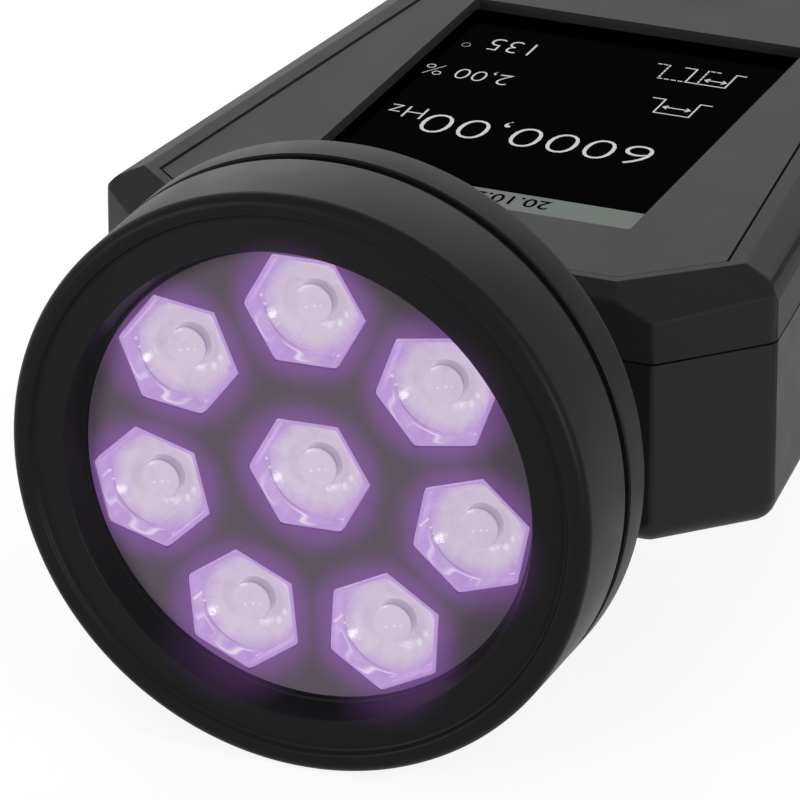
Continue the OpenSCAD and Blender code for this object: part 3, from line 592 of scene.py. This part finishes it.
class STROBE_OT_stage(bpy.types.Operator):
    """Make the camera, the pale floor and the soft studio light"""

    bl_idname = "strobe.stage"
    bl_label = "Camera and studio"

    # The camera's place in metres, its turn from the front and its rise in degrees.
    camera_place = (0.4168, -1.0533, 0.5091)
    camera_turn, camera_rise = 22.62, 24.43
    lens_mm, film_mm = 364.3, 36
    floor_half = 3.0
    floor_white = 0.86
    sky_level = 0.20
    light_aim = Vector((0, 0, 0.02))
    # Each light's name, place, size, and how much of its own colour a white surface that faces it
    # shows.
    light_rows = (
        ("light_behind", (-0.45, 1.75, 1.0), 2.0, 0.40),
        ("light_right", (2.1, -1.25, 0.33), 0.6, 0.37),
        ("light_edge", (1.9, -0.72, 1.3), 0.25, 0.08),
        ("light_front", (-1.16, -1.57, 0.28), 0.6, 0.30),
    )

    def execute(self, context):
        self.camera(context)
        self.floor()
        self.world(context)
        self.lights()
        context.scene.view_settings.view_transform = "Standard"
        return {"FINISHED"}

    def camera(self, context):
        data = bpy.data.cameras.new("camera")
        data.sensor_width = self.film_mm
        data.lens = self.lens_mm
        data.clip_start = 0.05
        data.clip_end = 20
        camera = put_in_scene("camera", data)
        turn, rise = math.radians(self.camera_turn), math.radians(self.camera_rise)
        level = math.cos(rise)
        look = Vector((-math.sin(turn) * level, math.cos(turn) * level, -math.sin(rise)))
        camera.location = self.camera_place
        camera.rotation_euler = look.to_track_quat("-Z", "Y").to_euler()
        context.scene.camera = camera

    def floor(self):
        """A flat square under the lamp's lowest point, nearly white where it is seen and a plain
        pale grey for the light that it bounces."""
        half, level = self.floor_half, CAD_BOX[0][2]
        corners = [(-half, -half), (half, -half), (half, half), (-half, half)]
        mesh = bpy.data.meshes.new("floor")
        mesh.from_pydata([(x, y, level) for x, y in corners], [], [(0, 1, 2, 3)])
        finish = Finish("studio_floor", roughness=0.9, specular_ior_level=0.0)
        finish.set(
            base_color=finish.mix(finish.noise(0.004), (0.34, 0.34, 0.34), (0.37, 0.37, 0.37)),
            emission_strength=finish.math("MULTIPLY", finish.seen(), self.floor_white),
            emission_color=(1, 1, 1),
        )
        mesh.materials.append(finish.material)
        put_in_scene("floor", mesh)

    def world(self, context):
        """White where it is seen, a weak even light on everything else."""
        world = bpy.data.worlds.new("studio")
        world.use_nodes = True
        context.scene.world = world
        tree = Nodes(world.node_tree)
        background = tree.nodes["Background"].inputs
        tree.put(background["Strength"], tree.math("MAXIMUM", tree.seen(), self.sky_level))
        tree.put(background["Color"], (1, 1, 1))

    def lights(self):
        """Soft square lights: their power is the level times pi squared times the distance
        squared."""
        for name, place, size, level in self.light_rows:
            data = bpy.data.lights.new(name, "AREA")
            data.size = size
            away = Vector(place) - self.light_aim
            data.energy = level * math.pi**2 * away.length_squared
            light = put_in_scene(name, data)
            light.location = place
            light.rotation_euler = away.to_track_quat("Z", "Y").to_euler()


def ring_finish(colours):
    """Powder coat, with a painted glow of the lenses' light on what lies near them: it fades with
    the distance from the nearest lens, and towards the left side of the mouth, so the right side
    keeps a painted highlight."""
    finish = grained("ring_powder_coat_painted_glow", colours.ring, 0.4, 0.075, grain=0.28, depth=0.012, patch=6)
    # Painted glow: emission near the lenses, cut away towards the left of the mouth.
    painted_glow = finish.ramp(finish.near(LENS_CENTRES), 8 * MM, 15 * MM, 1.0, 0.0)
    across = finish.node("SeparateXYZ", finish.place).outputs["X"]
    lit = finish.math("MULTIPLY", painted_glow, finish.ramp(across, -32 * MM, -4 * MM))
    finish.set(
        emission_strength=finish.math("MULTIPLY", lit, 0.20), emission_color=colours.painted_glow
    )
    return finish


class STROBE_OT_rings(bpy.types.Operator):
    """Turn the two rings of the lamp head and the seal between them"""

    bl_idname = "strobe.rings"
    bl_label = "Lamp rings and seal"

    def execute(self, context):
        sizes = context.scene.strobe_lamp
        coat = ring_finish(context.scene.strobe_finish)
        rubber = grained("seal_rubber", (0.006, 0.006, 0.006), 0.7, 0.1, grain=0.2, depth=0.01)
        turned("front_ring", "lamp_front_ring", self.front(sizes), coat, "ring_black")
        turned("rear_ring", "lamp_rear_ring", self.rear(sizes), coat, "ring_black")
        turned("ring_seal", "groove_seal", self.bead(sizes), rubber, "seal_rubber")
        return {"FINISHED"}

    def front(self, sizes):
        """A flared mouth wall with a fine step before the plate, a sharp lip, a face that dishes
        to the foot of a narrow crown, a round shoulder, and the seat of the plate inside."""
        outer, inner = LAMP_R, LAMP_R - sizes.wall
        mouth, deep = sizes.mouth_r, sizes.mouth_depth
        crown = outer - sizes.shoulder_r - sizes.crown_w
        seat, seat_end = mouth + 3.4 * MM, deep + 1.8 * MM
        # Radius, depth and rounding of each corner.
        rows = np.array(
            [
                (mouth, deep, 0.05 * MM),
                (mouth + 0.25 * MM, deep - 0.9 * MM, 0.1 * MM),
                (mouth + 0.55 * MM, deep - 0.95 * MM, 0.1 * MM),
                (sizes.lip_r, 0.2 * MM, 0.06 * MM),
                (sizes.lip_r + 0.15 * MM, 0.0, 0.06 * MM),
                (crown - 1.2 * MM, sizes.dish, 0.6 * MM),
                (crown - 0.6 * MM, 0.0, 0.5 * MM),
                (outer, 0.0, sizes.shoulder_r),
                (outer, RING_LEN, 0.3 * MM),
                (inner, RING_LEN, 0.1 * MM),
                (inner, seat_end, 0),
                (seat, seat_end, 0),
                (seat, deep, 0),
            ]
        )
        return closed_profile(rows[:, :2], rows[:, 2], ARC_STEPS)

    def rear(self, sizes):
        """A plain band with a fine chamfer on both outer edges."""
        outer, inner, edge = LAMP_R, LAMP_R - sizes.wall, 0.25 * MM
        start = RING_LEN + sizes.ring_gap
        end = start + sizes.rear_len
        corners = [
            (inner, start), (outer - edge, start), (outer, start + edge),
            (outer, end - edge), (outer - edge, end), (inner, end),
        ]
        return closed_profile(corners, np.array([0.1, 0.12, 0.12, 0.12, 0.12, 0.1]) * MM, 4)

    def bead(self, sizes):
        """A round bead in the middle of the groove, half as wide as the groove."""
        bead_r = sizes.ring_gap / 4
        centre_r, centre_y = LAMP_R - sizes.wall + bead_r, RING_LEN + sizes.ring_gap / 2
        around = np.linspace(0, 2 * math.pi, 20, endpoint=False)
        return np.stack(
            [centre_r + bead_r * np.cos(around), centre_y + bead_r * np.sin(around)], -1
        )


class STROBE_OT_plate(bpy.types.Operator):
    """Give the lens plate its satin finish, with painted light round each lens"""

    bl_idname = "strobe.plate"
    bl_label = "Lens plate"

    def execute(self, context):
        colours, lens = context.scene.strobe_finish, context.scene.strobe_lens
        finish = Finish("plate_satin_painted_glow", specular_ior_level=0.12)
        fine = finish.noise(0.25 * MM, detail=4)
        slow = finish.noise(7 * MM, detail=2)
        uneven = finish.math("MULTIPLY", finish.math("SUBTRACT", slow, 0.5), 2.0 * MM)
        reach = finish.math("ADD", finish.near(LENS_CENTRES), uneven)
        edge = lens.flat_w / 2
        # Painted light: a pool of the lenses' light round each lens, in colour and in emission.
        painted_glow = finish.ramp(reach, edge - 0.5 * MM, edge + lens.halo, 1.0, 0.0)
        plain = finish.mix(fine, shade(colours.plate, 0.92), shade(colours.plate, 1.08))
        finish.set(
            base_color=finish.mix(painted_glow, plain, colours.plate_painted_light),
            roughness=finish.ramp(fine, 0.3, 0.7, 0.5, 0.62),
            emission_strength=finish.math("MULTIPLY", painted_glow, 0.40),
            emission_color=colours.painted_glow,
        )
        finish.bump(fine, 0.008 * MM)
        dress(finish, "lens_plate")
        return {"FINISHED"}


class STROBE_OT_lenses(bpy.types.Operator):
    """Form the eight hexagonal lenses, each with its recess, bowl and boss"""

    bl_idname = "strobe.lenses"
    bl_label = "Lenses"

    sides, side_steps = 6, 16
    corner_power = 60
    # The middle lens's heading: each of the others faces away from it.
    first_facing = math.radians(-91.4)

    def execute(self, context):
        sizes = context.scene.strobe_lens
        finish = self.finish(context.scene.strobe_finish)
        for name, centre in zip(LENSES, LENS_CENTRES):
            facing = math.atan2(LAMP_Z - centre[2], centre[0] - LAMP_X)
            if name == LENSES[0]:
                facing = self.first_facing
            self.lens(name, centre, facing, sizes, finish)
        return {"FINISHED"}

    def finish(self, colours):
        """Lit from inside. The local attribute gives a point's place in its lens in millimetres:
        across, depth, up. The colour runs from the purple edge to the pale middle, moved by slow
        swirls and by rays from the boss. The shade attribute paints shade on the boss wall. Fine
        arcs are painted highlights and one painted dark line of shade; small spots are painted
        highlights, three of them on the boss standing for the emitter. They sit alike in every
        lens."""
        finish = Finish(
            "lens_lit", coat_weight=0.10, coat_roughness=0.10, specular_ior_level=0.20,
            emission_strength=0.72,
        )
        local = finish.node("Attribute", attribute_name="local").outputs["Vector"]
        painted_shade = finish.node("Attribute", attribute_name="shade").outputs["Fac"]
        flat = finish.vector("MULTIPLY", local, (1, 0, 1))
        radius = finish.vector("LENGTH", flat)
        heading = finish.vector("NORMALIZE", flat)
        swirl = finish.noise(3.4 * MM, detail=3, distortion=1.6)
        spokes = finish.vector("MULTIPLY", heading, (2.6, 2.6, 2.6))
        spokes = finish.vector("ADD", spokes, finish.vector("MULTIPLY", finish.place, (25, 25, 25)))
        rays = finish.noise(1.0, detail=2, place=spokes)
        tone = finish.ramp(radius, 8.3, 5.4, 0.0, 1.0)
        for pattern, weight in ((swirl, 0.9), (rays, 0.7)):
            change = finish.math("MULTIPLY", finish.math("SUBTRACT", pattern, 0.5), weight)
            tone = finish.math("ADD", tone, change)
        tone = finish.math("ADD", tone, 0.0, clamp=True)
        lit = finish.mix(tone, colours.lens_edge, colours.lens_core)
        # Arcs: the first a painted dark line of shade, the others painted highlights. Radius and
        # half width in millimetres, heading across and up, the cosine of the angle from it at which
        # the arc ends, colour and weight.
        for place_r, half, (x, z), limit, colour, weight in (
            (7.25, 0.20, (-0.72, -0.69), 0.60, shade(colours.lens_edge, 0.55), 0.65),
            (7.75, 0.18, (-0.25, -0.97), 0.90, (0.93, 0.84, 0.97), 0.8),
            (7.9, 0.22, (-0.86, -0.50), 0.93, (0.90, 0.78, 0.95), 0.6),
            (3.15, 0.12, (-0.97, 0.22), 0.80, (0.88, 0.84, 0.90), 0.8),
            (7.4, 0.22, (0.93, 0.35), 0.93, (0.80, 0.70, 0.86), 0.5),
        ):
            off = finish.math("ABSOLUTE", finish.math("SUBTRACT", radius, place_r))
            facing = finish.ramp(finish.vector("DOT_PRODUCT", heading, (x, 0, z)), limit, 1.0)
            here = finish.math("MULTIPLY", finish.ramp(off, 0, half, 1.0, 0.0), facing)
            lit = finish.mix(finish.math("MULTIPLY", here, weight), lit, colour)
        # Painted shade on the wall of the boss.
        lit = finish.mix(painted_shade, lit, colours.lens_shade)
        # Painted highlights: place across and up, radii of full light and of none in millimetres,
        # weight. The last three, on the boss, stand for the emitter's dies.
        for (x, z), inner, outer, weight in (
            ((-6.2, -2.64), 0.1, 0.9, 0.60), ((3.65, -3.0), 0.1, 0.8, 0.60),
            ((4.7, -1.5), 0.05, 0.7, 0.6), ((-7.7, 0.3), 0.05, 0.4, 0.6),
            ((-7.2, -1.0), 0.05, 0.3, 0.7), ((-0.77, -0.5), 0.08, 0.26, 0.7),
            ((0.49, -0.12), 0.08, 0.26, 0.7), ((1.43, 0.04), 0.06, 0.22, 0.6),
        ):
            away = finish.vector("DISTANCE", flat, (x, 0, z))
            spot = finish.math("MULTIPLY", finish.ramp(away, inner, outer, 1.0, 0.0), weight)
            lit = finish.mix(spot, lit, (0.95, 0.93, 0.97))
        finish.set(
            emission_color=lit,
            base_color=finish.mix(0.75, lit, (0.0, 0.0, 0.0)),
            roughness=finish.ramp(finish.noise(0.9 * MM, detail=2), 0.3, 0.7, 0.14, 0.26),
        )
        finish.bump(swirl, 0.2 * MM)
        return finish

    def rings(self, sizes, back):
        """Rings of a lens from the middle of the boss over the front to the middle of the back.
        Each has a half width, a depth behind the plate's front, a share of hexagon and a share of
        painted shade."""
        half = sizes.flat_w / 2
        inner = half - sizes.rim
        front = 0.15 * MM
        floor = front + sizes.recess
        bottom = floor + sizes.bowl
        boss, boss_top = sizes.boss_r, bottom - sizes.boss_h
        cap = boss + 0.12 * MM
        edge_r = 0.28 * MM
        flange, flange_y = half + 0.85 * MM, 1.9 * MM
        dome = np.linspace(0.02, 0.9, 8)
        edge = np.linspace(0, math.pi / 2, 5)
        bowl = np.linspace(0, 1, 12)
        boss_face = [cap * dome * 0.97, boss_top - edge_r * (1 - dome**2), 0 * dome, 0 * dome]
        # The boss's rounded edge takes painted shade, deepest where it meets the wall.
        boss_edge = [
            cap - edge_r + edge_r * np.sin(edge), boss_top + edge_r * (1 - np.cos(edge)),
            0 * edge, (2 * edge / math.pi) ** 3,
        ]
        bowl_side = [
            boss + 0.16 * MM + (inner - boss - 0.51 * MM) * bowl,
            bottom - sizes.bowl * bowl**1.7, 0 * bowl, 0 * bowl,
        ]
        rows = [
            np.stack(boss_face, -1),
            np.stack(boss_edge, -1),
            # The wall of the boss, with painted shade, and its foot.
            [(boss + 0.02 * MM, boss_top + 0.7 * MM, 0, 0.7)],
            [(boss + 0.04 * MM, bottom - 0.45 * MM, 0, 0.5)],
            [(boss + 0.08 * MM, bottom - 0.12 * MM, 0, 0.4)],
            [(boss + 0.12 * MM, bottom - 0.03 * MM, 0, 0.3)],
            np.stack(bowl_side, -1),
            # The wall of the recess, from the floor to the rim.
            [(inner - 0.2 * MM, floor - 0.02 * MM, 0.85, 0)],
            [(inner - 0.05 * MM, floor - 0.15 * MM, 1, 0)],
            [(inner, floor - 0.5 * MM, 1, 0), (inner + 0.05 * MM, front + 0.5 * MM, 1, 0)],
            [(inner + 0.12 * MM, front + 0.1 * MM, 1, 0), (inner + 0.25 * MM, front, 1, 0)],
            # The outside, with the flange that the plate holds.
            [(half - 0.18 * MM, front, 1, 0), (half - 0.05 * MM, front + 0.06 * MM, 1, 0)],
            [(half, front + 0.25 * MM, 1, 0), (half, flange_y, 1, 0)],
            [(flange, flange_y, 1, 0), (flange, flange_y + 0.85 * MM, 1, 0)],
            [(half, flange_y + 0.9 * MM, 1, 0), (half - 0.1 * MM, bottom + 0.4 * MM, 1, 0)],
            # The back, with the hollow over the emitter.
            [(4.3 * MM, back, 0, 0), (2.7 * MM, back, 0, 0), (2.5 * MM, back - 1.2 * MM, 0, 0)],
            [(1.4 * MM, back - 2.2 * MM, 0, 0), (0.05 * MM, back - 2.5 * MM, 0, 0)],
        ]
        return np.concatenate([np.asarray(row, float) for row in rows])

    def lens(self, node, centre, facing, sizes, finish):
        """Rings round the lens's axis: a share of hexagon of 0 is a circle and 1 a hexagon with
        rounded corners, whose radius at angle u is the half width over the p-norm of
        cos(u - side) over its sides."""
        rings = self.rings(sizes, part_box(node)[1][1] - centre[1])
        count = self.sides * self.side_steps
        u = np.arange(count) * (2 * math.pi / count) + facing
        side_angles = facing + np.arange(self.sides) * math.pi / 3
        cosines = np.clip(np.cos(u[:, None] - side_angles[None]), 1e-6, None)
        hexagon = (cosines**self.corner_power).sum(axis=1) ** (-1 / self.corner_power)
        hexagon *= 1 / hexagon[:: self.side_steps].max()
        width, depth, share = (rings[:, i, None] for i in range(3))
        radius = width * ((1 - share) + share * hexagon[None])
        across, up = radius * np.cos(u), -radius * np.sin(u)
        points = np.stack([centre[0] + across, centre[1] + depth + 0 * radius, centre[2] + up], -1)
        points = points.reshape(-1, 3)
        last = len(points) - count
        faces = grid_faces(len(rings), count, False).tolist()
        faces.append(list(range(count))[::-1])
        faces.append([last + i for i in range(count)])
        name = f"lit_{node}"
        piece = add_piece(name, points, faces, finish, "lens_clear", smooth_below=28)
        # Painted shade of each ring, read by the finish.
        painted_shades = piece.data.attributes.new("shade", "FLOAT", "POINT")
        painted_shades.data.foreach_set("value", np.repeat(rings[:, 3], count))
        places = piece.data.attributes.new("local", "FLOAT_VECTOR", "POINT")
        places.data.foreach_set("vector", ((points - centre) / MM).ravel())
        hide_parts(node)


class STROBE_OT_case(bpy.types.Operator):
    """Round the edges of the two shells of the case, and finish them and the front panel"""

    bl_idname = "strobe.case"
    bl_label = "Case and panel"

    # How far the rounded case stays inside the CAD model's.
    inset = 0.015 * MM

    def execute(self, context):
        sizes, colours = context.scene.strobe_case, context.scene.strobe_finish
        top = grained("shell_grey", colours.top, 0.46, 0.055, grain=0.35, depth=0.008)
        low = grained("shell_dark", colours.lower, 0.46, 0.14, grain=0.35, depth=0.010)
        panel = grained("panel_grey", colours.panel, 0.44, 0.055, grain=0.22, depth=0.005)
        points = rounded_solid(case_planes(sizes, self.inset), case_radii(sizes))
        hull = hull_object("rounding", points)
        softened("upper_shell", "top_shell", hull, top)
        softened("lower_shell", "bottom_shell", hull, low)
        mesh = hull.data
        bpy.data.objects.remove(hull)
        bpy.data.meshes.remove(mesh)
        dress(panel, "front_panel")
        return {"FINISHED"}


# Prints. They read along -X with their tops towards -Y, as a user behind the instrument sees them.


def strokes(line, width, height, low):
    """A printed line: each straight piece of the line is a thin flat bar with its own ends.

    A bar's corners are its two end points moved half the width to either side and half the
    width beyond each end, at two heights. Points are (x, y) pairs.
    """
    ends = np.asarray(line, float)
    start, end = ends[:-1], ends[1:]
    along = unit(end - start)
    across = np.stack([-along[:, 1], along[:, 0]], -1) * width / 2
    start, end = start - along * width / 2, end + along * width / 2
    flat = np.stack([start - across, end - across, end + across, start + across], 1)
    levels = [np.full((*flat.shape[:2], 1), level) for level in (low, low + height)]
    verts = np.concatenate([np.concatenate([flat, level], -1) for level in levels], 1)
    box = np.array(
        [(3, 2, 1, 0), (4, 5, 6, 7), (0, 1, 5, 4), (1, 2, 6, 5), (2, 3, 7, 6), (3, 0, 4, 7)]
    )
    faces = np.arange(len(start))[:, None, None] * len(verts[0]) + box[None]
    return verts.reshape(-1, 3), faces.reshape(-1, 4)


def lettering(words, box, low, height, thinning=-0.022):
    """Points and faces of words as thin solid letters that fill a box (x0, y0, x1, y1) in
    millimetres. The strokes' outlines move by the thinning, which is a share of their size."""
    curve = bpy.data.curves.new("words", "FONT")
    curve.body = words
    curve.extrude = 0.01
    curve.resolution_u = 4
    curve.offset = thinning
    holder = put_in_scene("words", curve)
    mesh = worked_out(holder)
    points = np.empty(len(mesh.vertices) * 3)
    mesh.vertices.foreach_get("co", points)
    points = points.reshape(-1, 3)
    faces = [tuple(face.vertices) for face in mesh.polygons]
    bpy.data.objects.remove(holder)
    bpy.data.curves.remove(curve)
    bpy.data.meshes.remove(mesh)
    least, most = points.min(axis=0), points.max(axis=0)
    share = (points - least) / (most - least)
    x0, y0, x1, y1 = np.array(box) * MM
    x, y = x1 - share[:, 0] * (x1 - x0), y1 - share[:, 1] * (y1 - y0)
    return np.stack([x, y, low + share[:, 2] * height], -1), faces


def joined(parts):
    """Several (points, faces) as one."""
    verts, faces, start = [], [], 0
    for points, corner_lists in parts:
        verts.append(points)
        faces += [[int(corner) + start for corner in corners] for corners in corner_lists]
        start += len(points)
    return np.concatenate(verts), faces


def arrow(x0, x1, y, head=0.55):
    """Lines of an arrow with a head at both ends, in millimetres."""
    tips = [
        [(x + side * head, y - head), (x, y), (x + side * head, y + head)]
        for x, side in ((x0, 1), (x1, -1))
    ]
    return [[(x0, y), (x1, y)], *tips]


def dashes(line, step=1.1, share=0.5):
    """A broken line: each straight piece is cut into even steps, drawn over a share of each."""
    ends = np.array(line, float)
    out = []
    for start, end in zip(ends[:-1], ends[1:]):
        count = max(1, round(float(np.linalg.norm(end - start)) / step))
        begin = np.arange(count)[:, None] / count
        stop = begin + share / count
        out += list(np.stack([start + (end - start) * begin, start + (end - start) * stop], 1))
    return out


def lit_print(name, colour, strength):
    """A lit mark on the display: its own colour as light, with the display's fine dots in it."""
    finish = Finish(
        name, specular_ior_level=0.1, roughness=0.6, ior=1.02, emission_strength=strength
    )
    dots = finish.noise(0.12 * MM, detail=1)
    finish.set(
        emission_color=finish.mix(dots, shade(colour, 0.94), shade(colour, 1.04)),
        base_color=finish.mix(dots, shade(colour, 0.25), shade(colour, 0.3)),
    )
    return finish


class STROBE_OT_display(bpy.types.Operator):
    """Light the display: glass, status bar, readout lines and pulse pictures"""

    bl_idname = "strobe.display"
    bl_label = "Display"

    # Places in millimetres: words in their boxes, then full and broken lines.
    readout = (
        ("6000,00", (-18.2, -4.1, 18.9, 4.6)), ("Hz", (-24.9, 0.2, -19.0, 4.4)),
        ("2,00 %", (-26.2, 17.7, -12.0, 22.4)), ("135 °", (-24.5, 30.2, -13.4, 35.2)),
    )
    status = (
        ("20.10.24", (-2.6, -25.4, 11.9, -22.2)), ("12:00", (-24.5, -25.4, -16.0, -22.2))
    )
    full_lines = (
        [(10.9, 22.0), (12.9, 22.0), (12.9, 16.5), (18.6, 16.5), (18.6, 22.0), (20.4, 22.0)],
        [(11.2, 35.2), (13.1, 35.2), (13.1, 29.7), (19.6, 29.7), (19.6, 35.2), (21.1, 35.2)],
        *arrow(13.6, 17.9, 19.05),
        *arrow(15.7, 19.1, 31.6),
    )
    broken_lines = (
        [(6.7, 35.2), (8.6, 35.2), (8.6, 29.7), (13.1, 29.7)],
        [(16.9, 35.2), (15.0, 35.2), (15.0, 29.7)],
    )
    bar_half_w, bar_h, bar_y = 27.68, 10.76, -26.42

    def execute(self, context):
        sizes, colours = context.scene.strobe_case, context.scene.strobe_finish
        black = (0.0006, 0.0006, 0.0007)
        glass = grained("screen_glass", black, 0.12, 0.2, grain=0.5, depth=0.0003)
        glass.set(ior=1.015)
        dress(glass, "display_screen")
        black = (0.003, 0.003, 0.003)
        foam = grained("gasket_foam", black, 0.8, 0.02, grain=0.3, depth=0.03)
        dress(foam, "display_gasket")
        low, height = GLASS_TOP + 0.01 * MM, sizes.print_h
        parts = [lettering(words, box, low, height) for words, box in self.readout]
        lines = [*self.full_lines, *itertools.chain(*map(dashes, self.broken_lines))]
        parts += [strokes(np.array(line) * MM, sizes.line_w, height, low) for line in lines]
        self.show("readout", parts, lit_print("readout_light", colours.digits, 0.95))
        end = self.bar_half_w - self.bar_h / 2
        line = np.array([(end, self.bar_y), (-end, self.bar_y)]) * MM
        parts = [strokes(line, self.bar_h * MM, height, low)]
        self.show("status_bar", parts, lit_print("status_bar_light", colours.bar, 0.92))
        low += height + 0.005 * MM
        parts = [lettering(words, box, low, height, 0.010) for words, box in self.status]
        self.show("status_digits", parts, lit_print("status_ink", (0.002, 0.002, 0.002), 0.5))
        return {"FINISHED"}

    def show(self, name, parts, finish):
        """Makes one lit piece of several parts."""
        add_piece(name, *joined(parts), finish, "screen_glass")


class STROBE_OT_keys(bpy.types.Operator):
    """Finish the seven keys and print a plain symbol on each"""

    bl_idname = "strobe.keys"
    bl_label = "Keys"

    # Degrees by which the arrow that points to the lamp is turned.
    arrows = {"up": 0, "left": -90, "down": 180, "right": 90}
    line_w, line_h = 0.5 * MM, 0.03 * MM

    def execute(self, context):
        grey, white = (0.20, 0.20, 0.205), (0.75, 0.75, 0.74)
        rubber = grained("key_rubber", grey, 0.6, 0.25, grain=0.25, depth=0.012, spread=0.05)
        ink = grained("key_print", white, 0.55, 0.3, grain=0.15, depth=0.003)
        for key in KEYS:
            node = f"key_{key}"
            dress(rubber, node)
            centre, top = middle(node)[:2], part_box(node)[1][2]
            parts = [
                strokes(line * MM + centre, self.line_w, self.line_h, top)
                for line in self.symbol(key)
            ]
            add_piece(f"print_{key}", *joined(parts), ink, "key_rubber", f"key_{key}_body")
        return {"FINISHED"}

    def symbol(self, key):
        """Lines of a key's symbol in millimetres: arrows, a tick, a bent arrow and a power mark."""
        if key in self.arrows:
            head = np.array([(-1.8, 0.9), (0, -1.1), (1.8, 0.9)])
            angle = math.radians(-self.arrows[key])
            sin, cos = math.sin(angle), math.cos(angle)
            return [head @ np.array([[cos, -sin], [sin, cos]]).T]
        if key == "enter":
            return [np.array([(1.9, 0.1), (0.5, 1.4), (-2.0, -1.3)])]
        if key == "back":
            return [
                np.array([(-2.0, 1.2), (-2.0, -0.4), (1.8, -0.4)]),
                np.array([(0.6, -1.6), (1.9, -0.4), (0.6, 0.8)]),
            ]
        angle = np.radians(np.linspace(-60, 240, 17))
        arc = np.stack([1.7 * np.cos(angle), 1.7 * np.sin(angle)], -1)
        return [arc, np.array([(0, -2.1), (0, -0.2)])]


class STROBE_OT_fittings(bpy.types.Operator):
    """Finish the housing, sockets, screws, insert, boards, cells and the rest of the inside"""

    bl_idname = "strobe.fittings"
    bl_label = "Fittings and inside"

    def execute(self, context):
        black = grained("housing_black", (0.030, 0.030, 0.032), 0.5, 0.15, grain=0.35)
        steel = metal("screw_steel", (0.55, 0.55, 0.56), 0.3, (1, 1, 1), 0.2)
        brass = metal("brass", (0.78, 0.58, 0.26), 0.28, (1, 1, 12), 0.5)
        sink = metal("sink_aluminium", (0.66, 0.67, 0.69), 0.42, (1, 30, 1), 0.8)
        white = grained("board_white", (0.70, 0.70, 0.66), 0.4, 0.4, grain=0.5, depth=0.004)
        cell = grained(
            "cell_wrap", (0.04, 0.16, 0.42), 0.35, 0.4, grain=1.2, depth=0.004, spread=0.06
        )
        emitter = grained(
            "emitter", (0.72, 0.66, 0.52), 0.25, 0.5, grain=0.5, depth=0.002, spread=0.05
        )
        dress(black, "lamp_housing", "battery_holder", "lamp_lead", "board_parts", "trigger_socket")
        dress(steel, "board_screws", "keypad_screws", "case_screws")
        dress(steel, "usb_socket", "battery_contacts")
        dress(brass, "tripod_insert", "board_spacers", "key_switches")
        dress(sink, "heat_sink", "display_module")
        dress(white, "led_board")
        dress(self.board(), "main_board", "key_board", "port_board")
        dress(cell, "battery_cell_1", "battery_cell_2")
        dress(emitter, *[name.replace("lens", "led") for name in LENSES])
        return {"FINISHED"}

    def board(self):
        """Solder mask: green, with the square pattern of tracks under it."""
        finish = Finish("board_green", specular_ior_level=0.5, roughness=0.3)
        cells = finish.node("TexBrick", finish.place)
        finish.feed(
            cells, scale=1 / (6 * MM), mortar_size=0.04, mortar=(0.02, 0.16, 0.06),
            color1=(0.012, 0.10, 0.035), color2=(0.010, 0.085, 0.030),
        )
        finish.set(base_color=cells.outputs["Color"])
        finish.bump(cells.outputs["Fac"], 0.02 * MM)
        return finish


OPERATORS = (
    STROBE_OT_stage,
    STROBE_OT_rings,
    STROBE_OT_plate,
    STROBE_OT_lenses,
    STROBE_OT_case,
    STROBE_OT_display,
    STROBE_OT_keys,
    STROBE_OT_fittings,
)

GROUPS = (
    ("strobe_lamp", LampSizes),
    ("strobe_lens", LensSizes),
    ("strobe_case", CaseSizes),
    ("strobe_finish", Finishes),
)


class STROBE_PT_panel(bpy.types.Panel):
    """Lists the operators and the sizes in the sidebar"""

    bl_idname = "STROBE_PT_panel"
    bl_label = "Stroboscope"
    bl_space_type = "VIEW_3D"
    bl_region_type = "UI"
    bl_category = "Stroboscope"

    def draw(self, context):
        for operator in OPERATORS:
            self.layout.operator(operator.bl_idname)
        for name, _ in GROUPS:
            box = self.layout.box()
            settings = getattr(context.scene, name)
            for key in settings.__annotations__:
                box.prop(settings, key)


def register():
    for name, group in GROUPS:
        bpy.utils.register_class(group)
        setattr(bpy.types.Scene, name, bpy.props.PointerProperty(type=group))
    for operator in OPERATORS:
        bpy.utils.register_class(operator)
    bpy.utils.register_class(STROBE_PT_panel)


def unregister():
    bpy.utils.unregister_class(STROBE_PT_panel)
    for operator in reversed(OPERATORS):
        bpy.utils.unregister_class(operator)
    for name, group in reversed(GROUPS):
        delattr(bpy.types.Scene, name)
        bpy.utils.unregister_class(group)


def main():
    register()
    for operator in OPERATORS:
        group, name = operator.bl_idname.split(".")
        getattr(getattr(bpy.ops, group), name)()


if __name__ == "__main__":
    main()
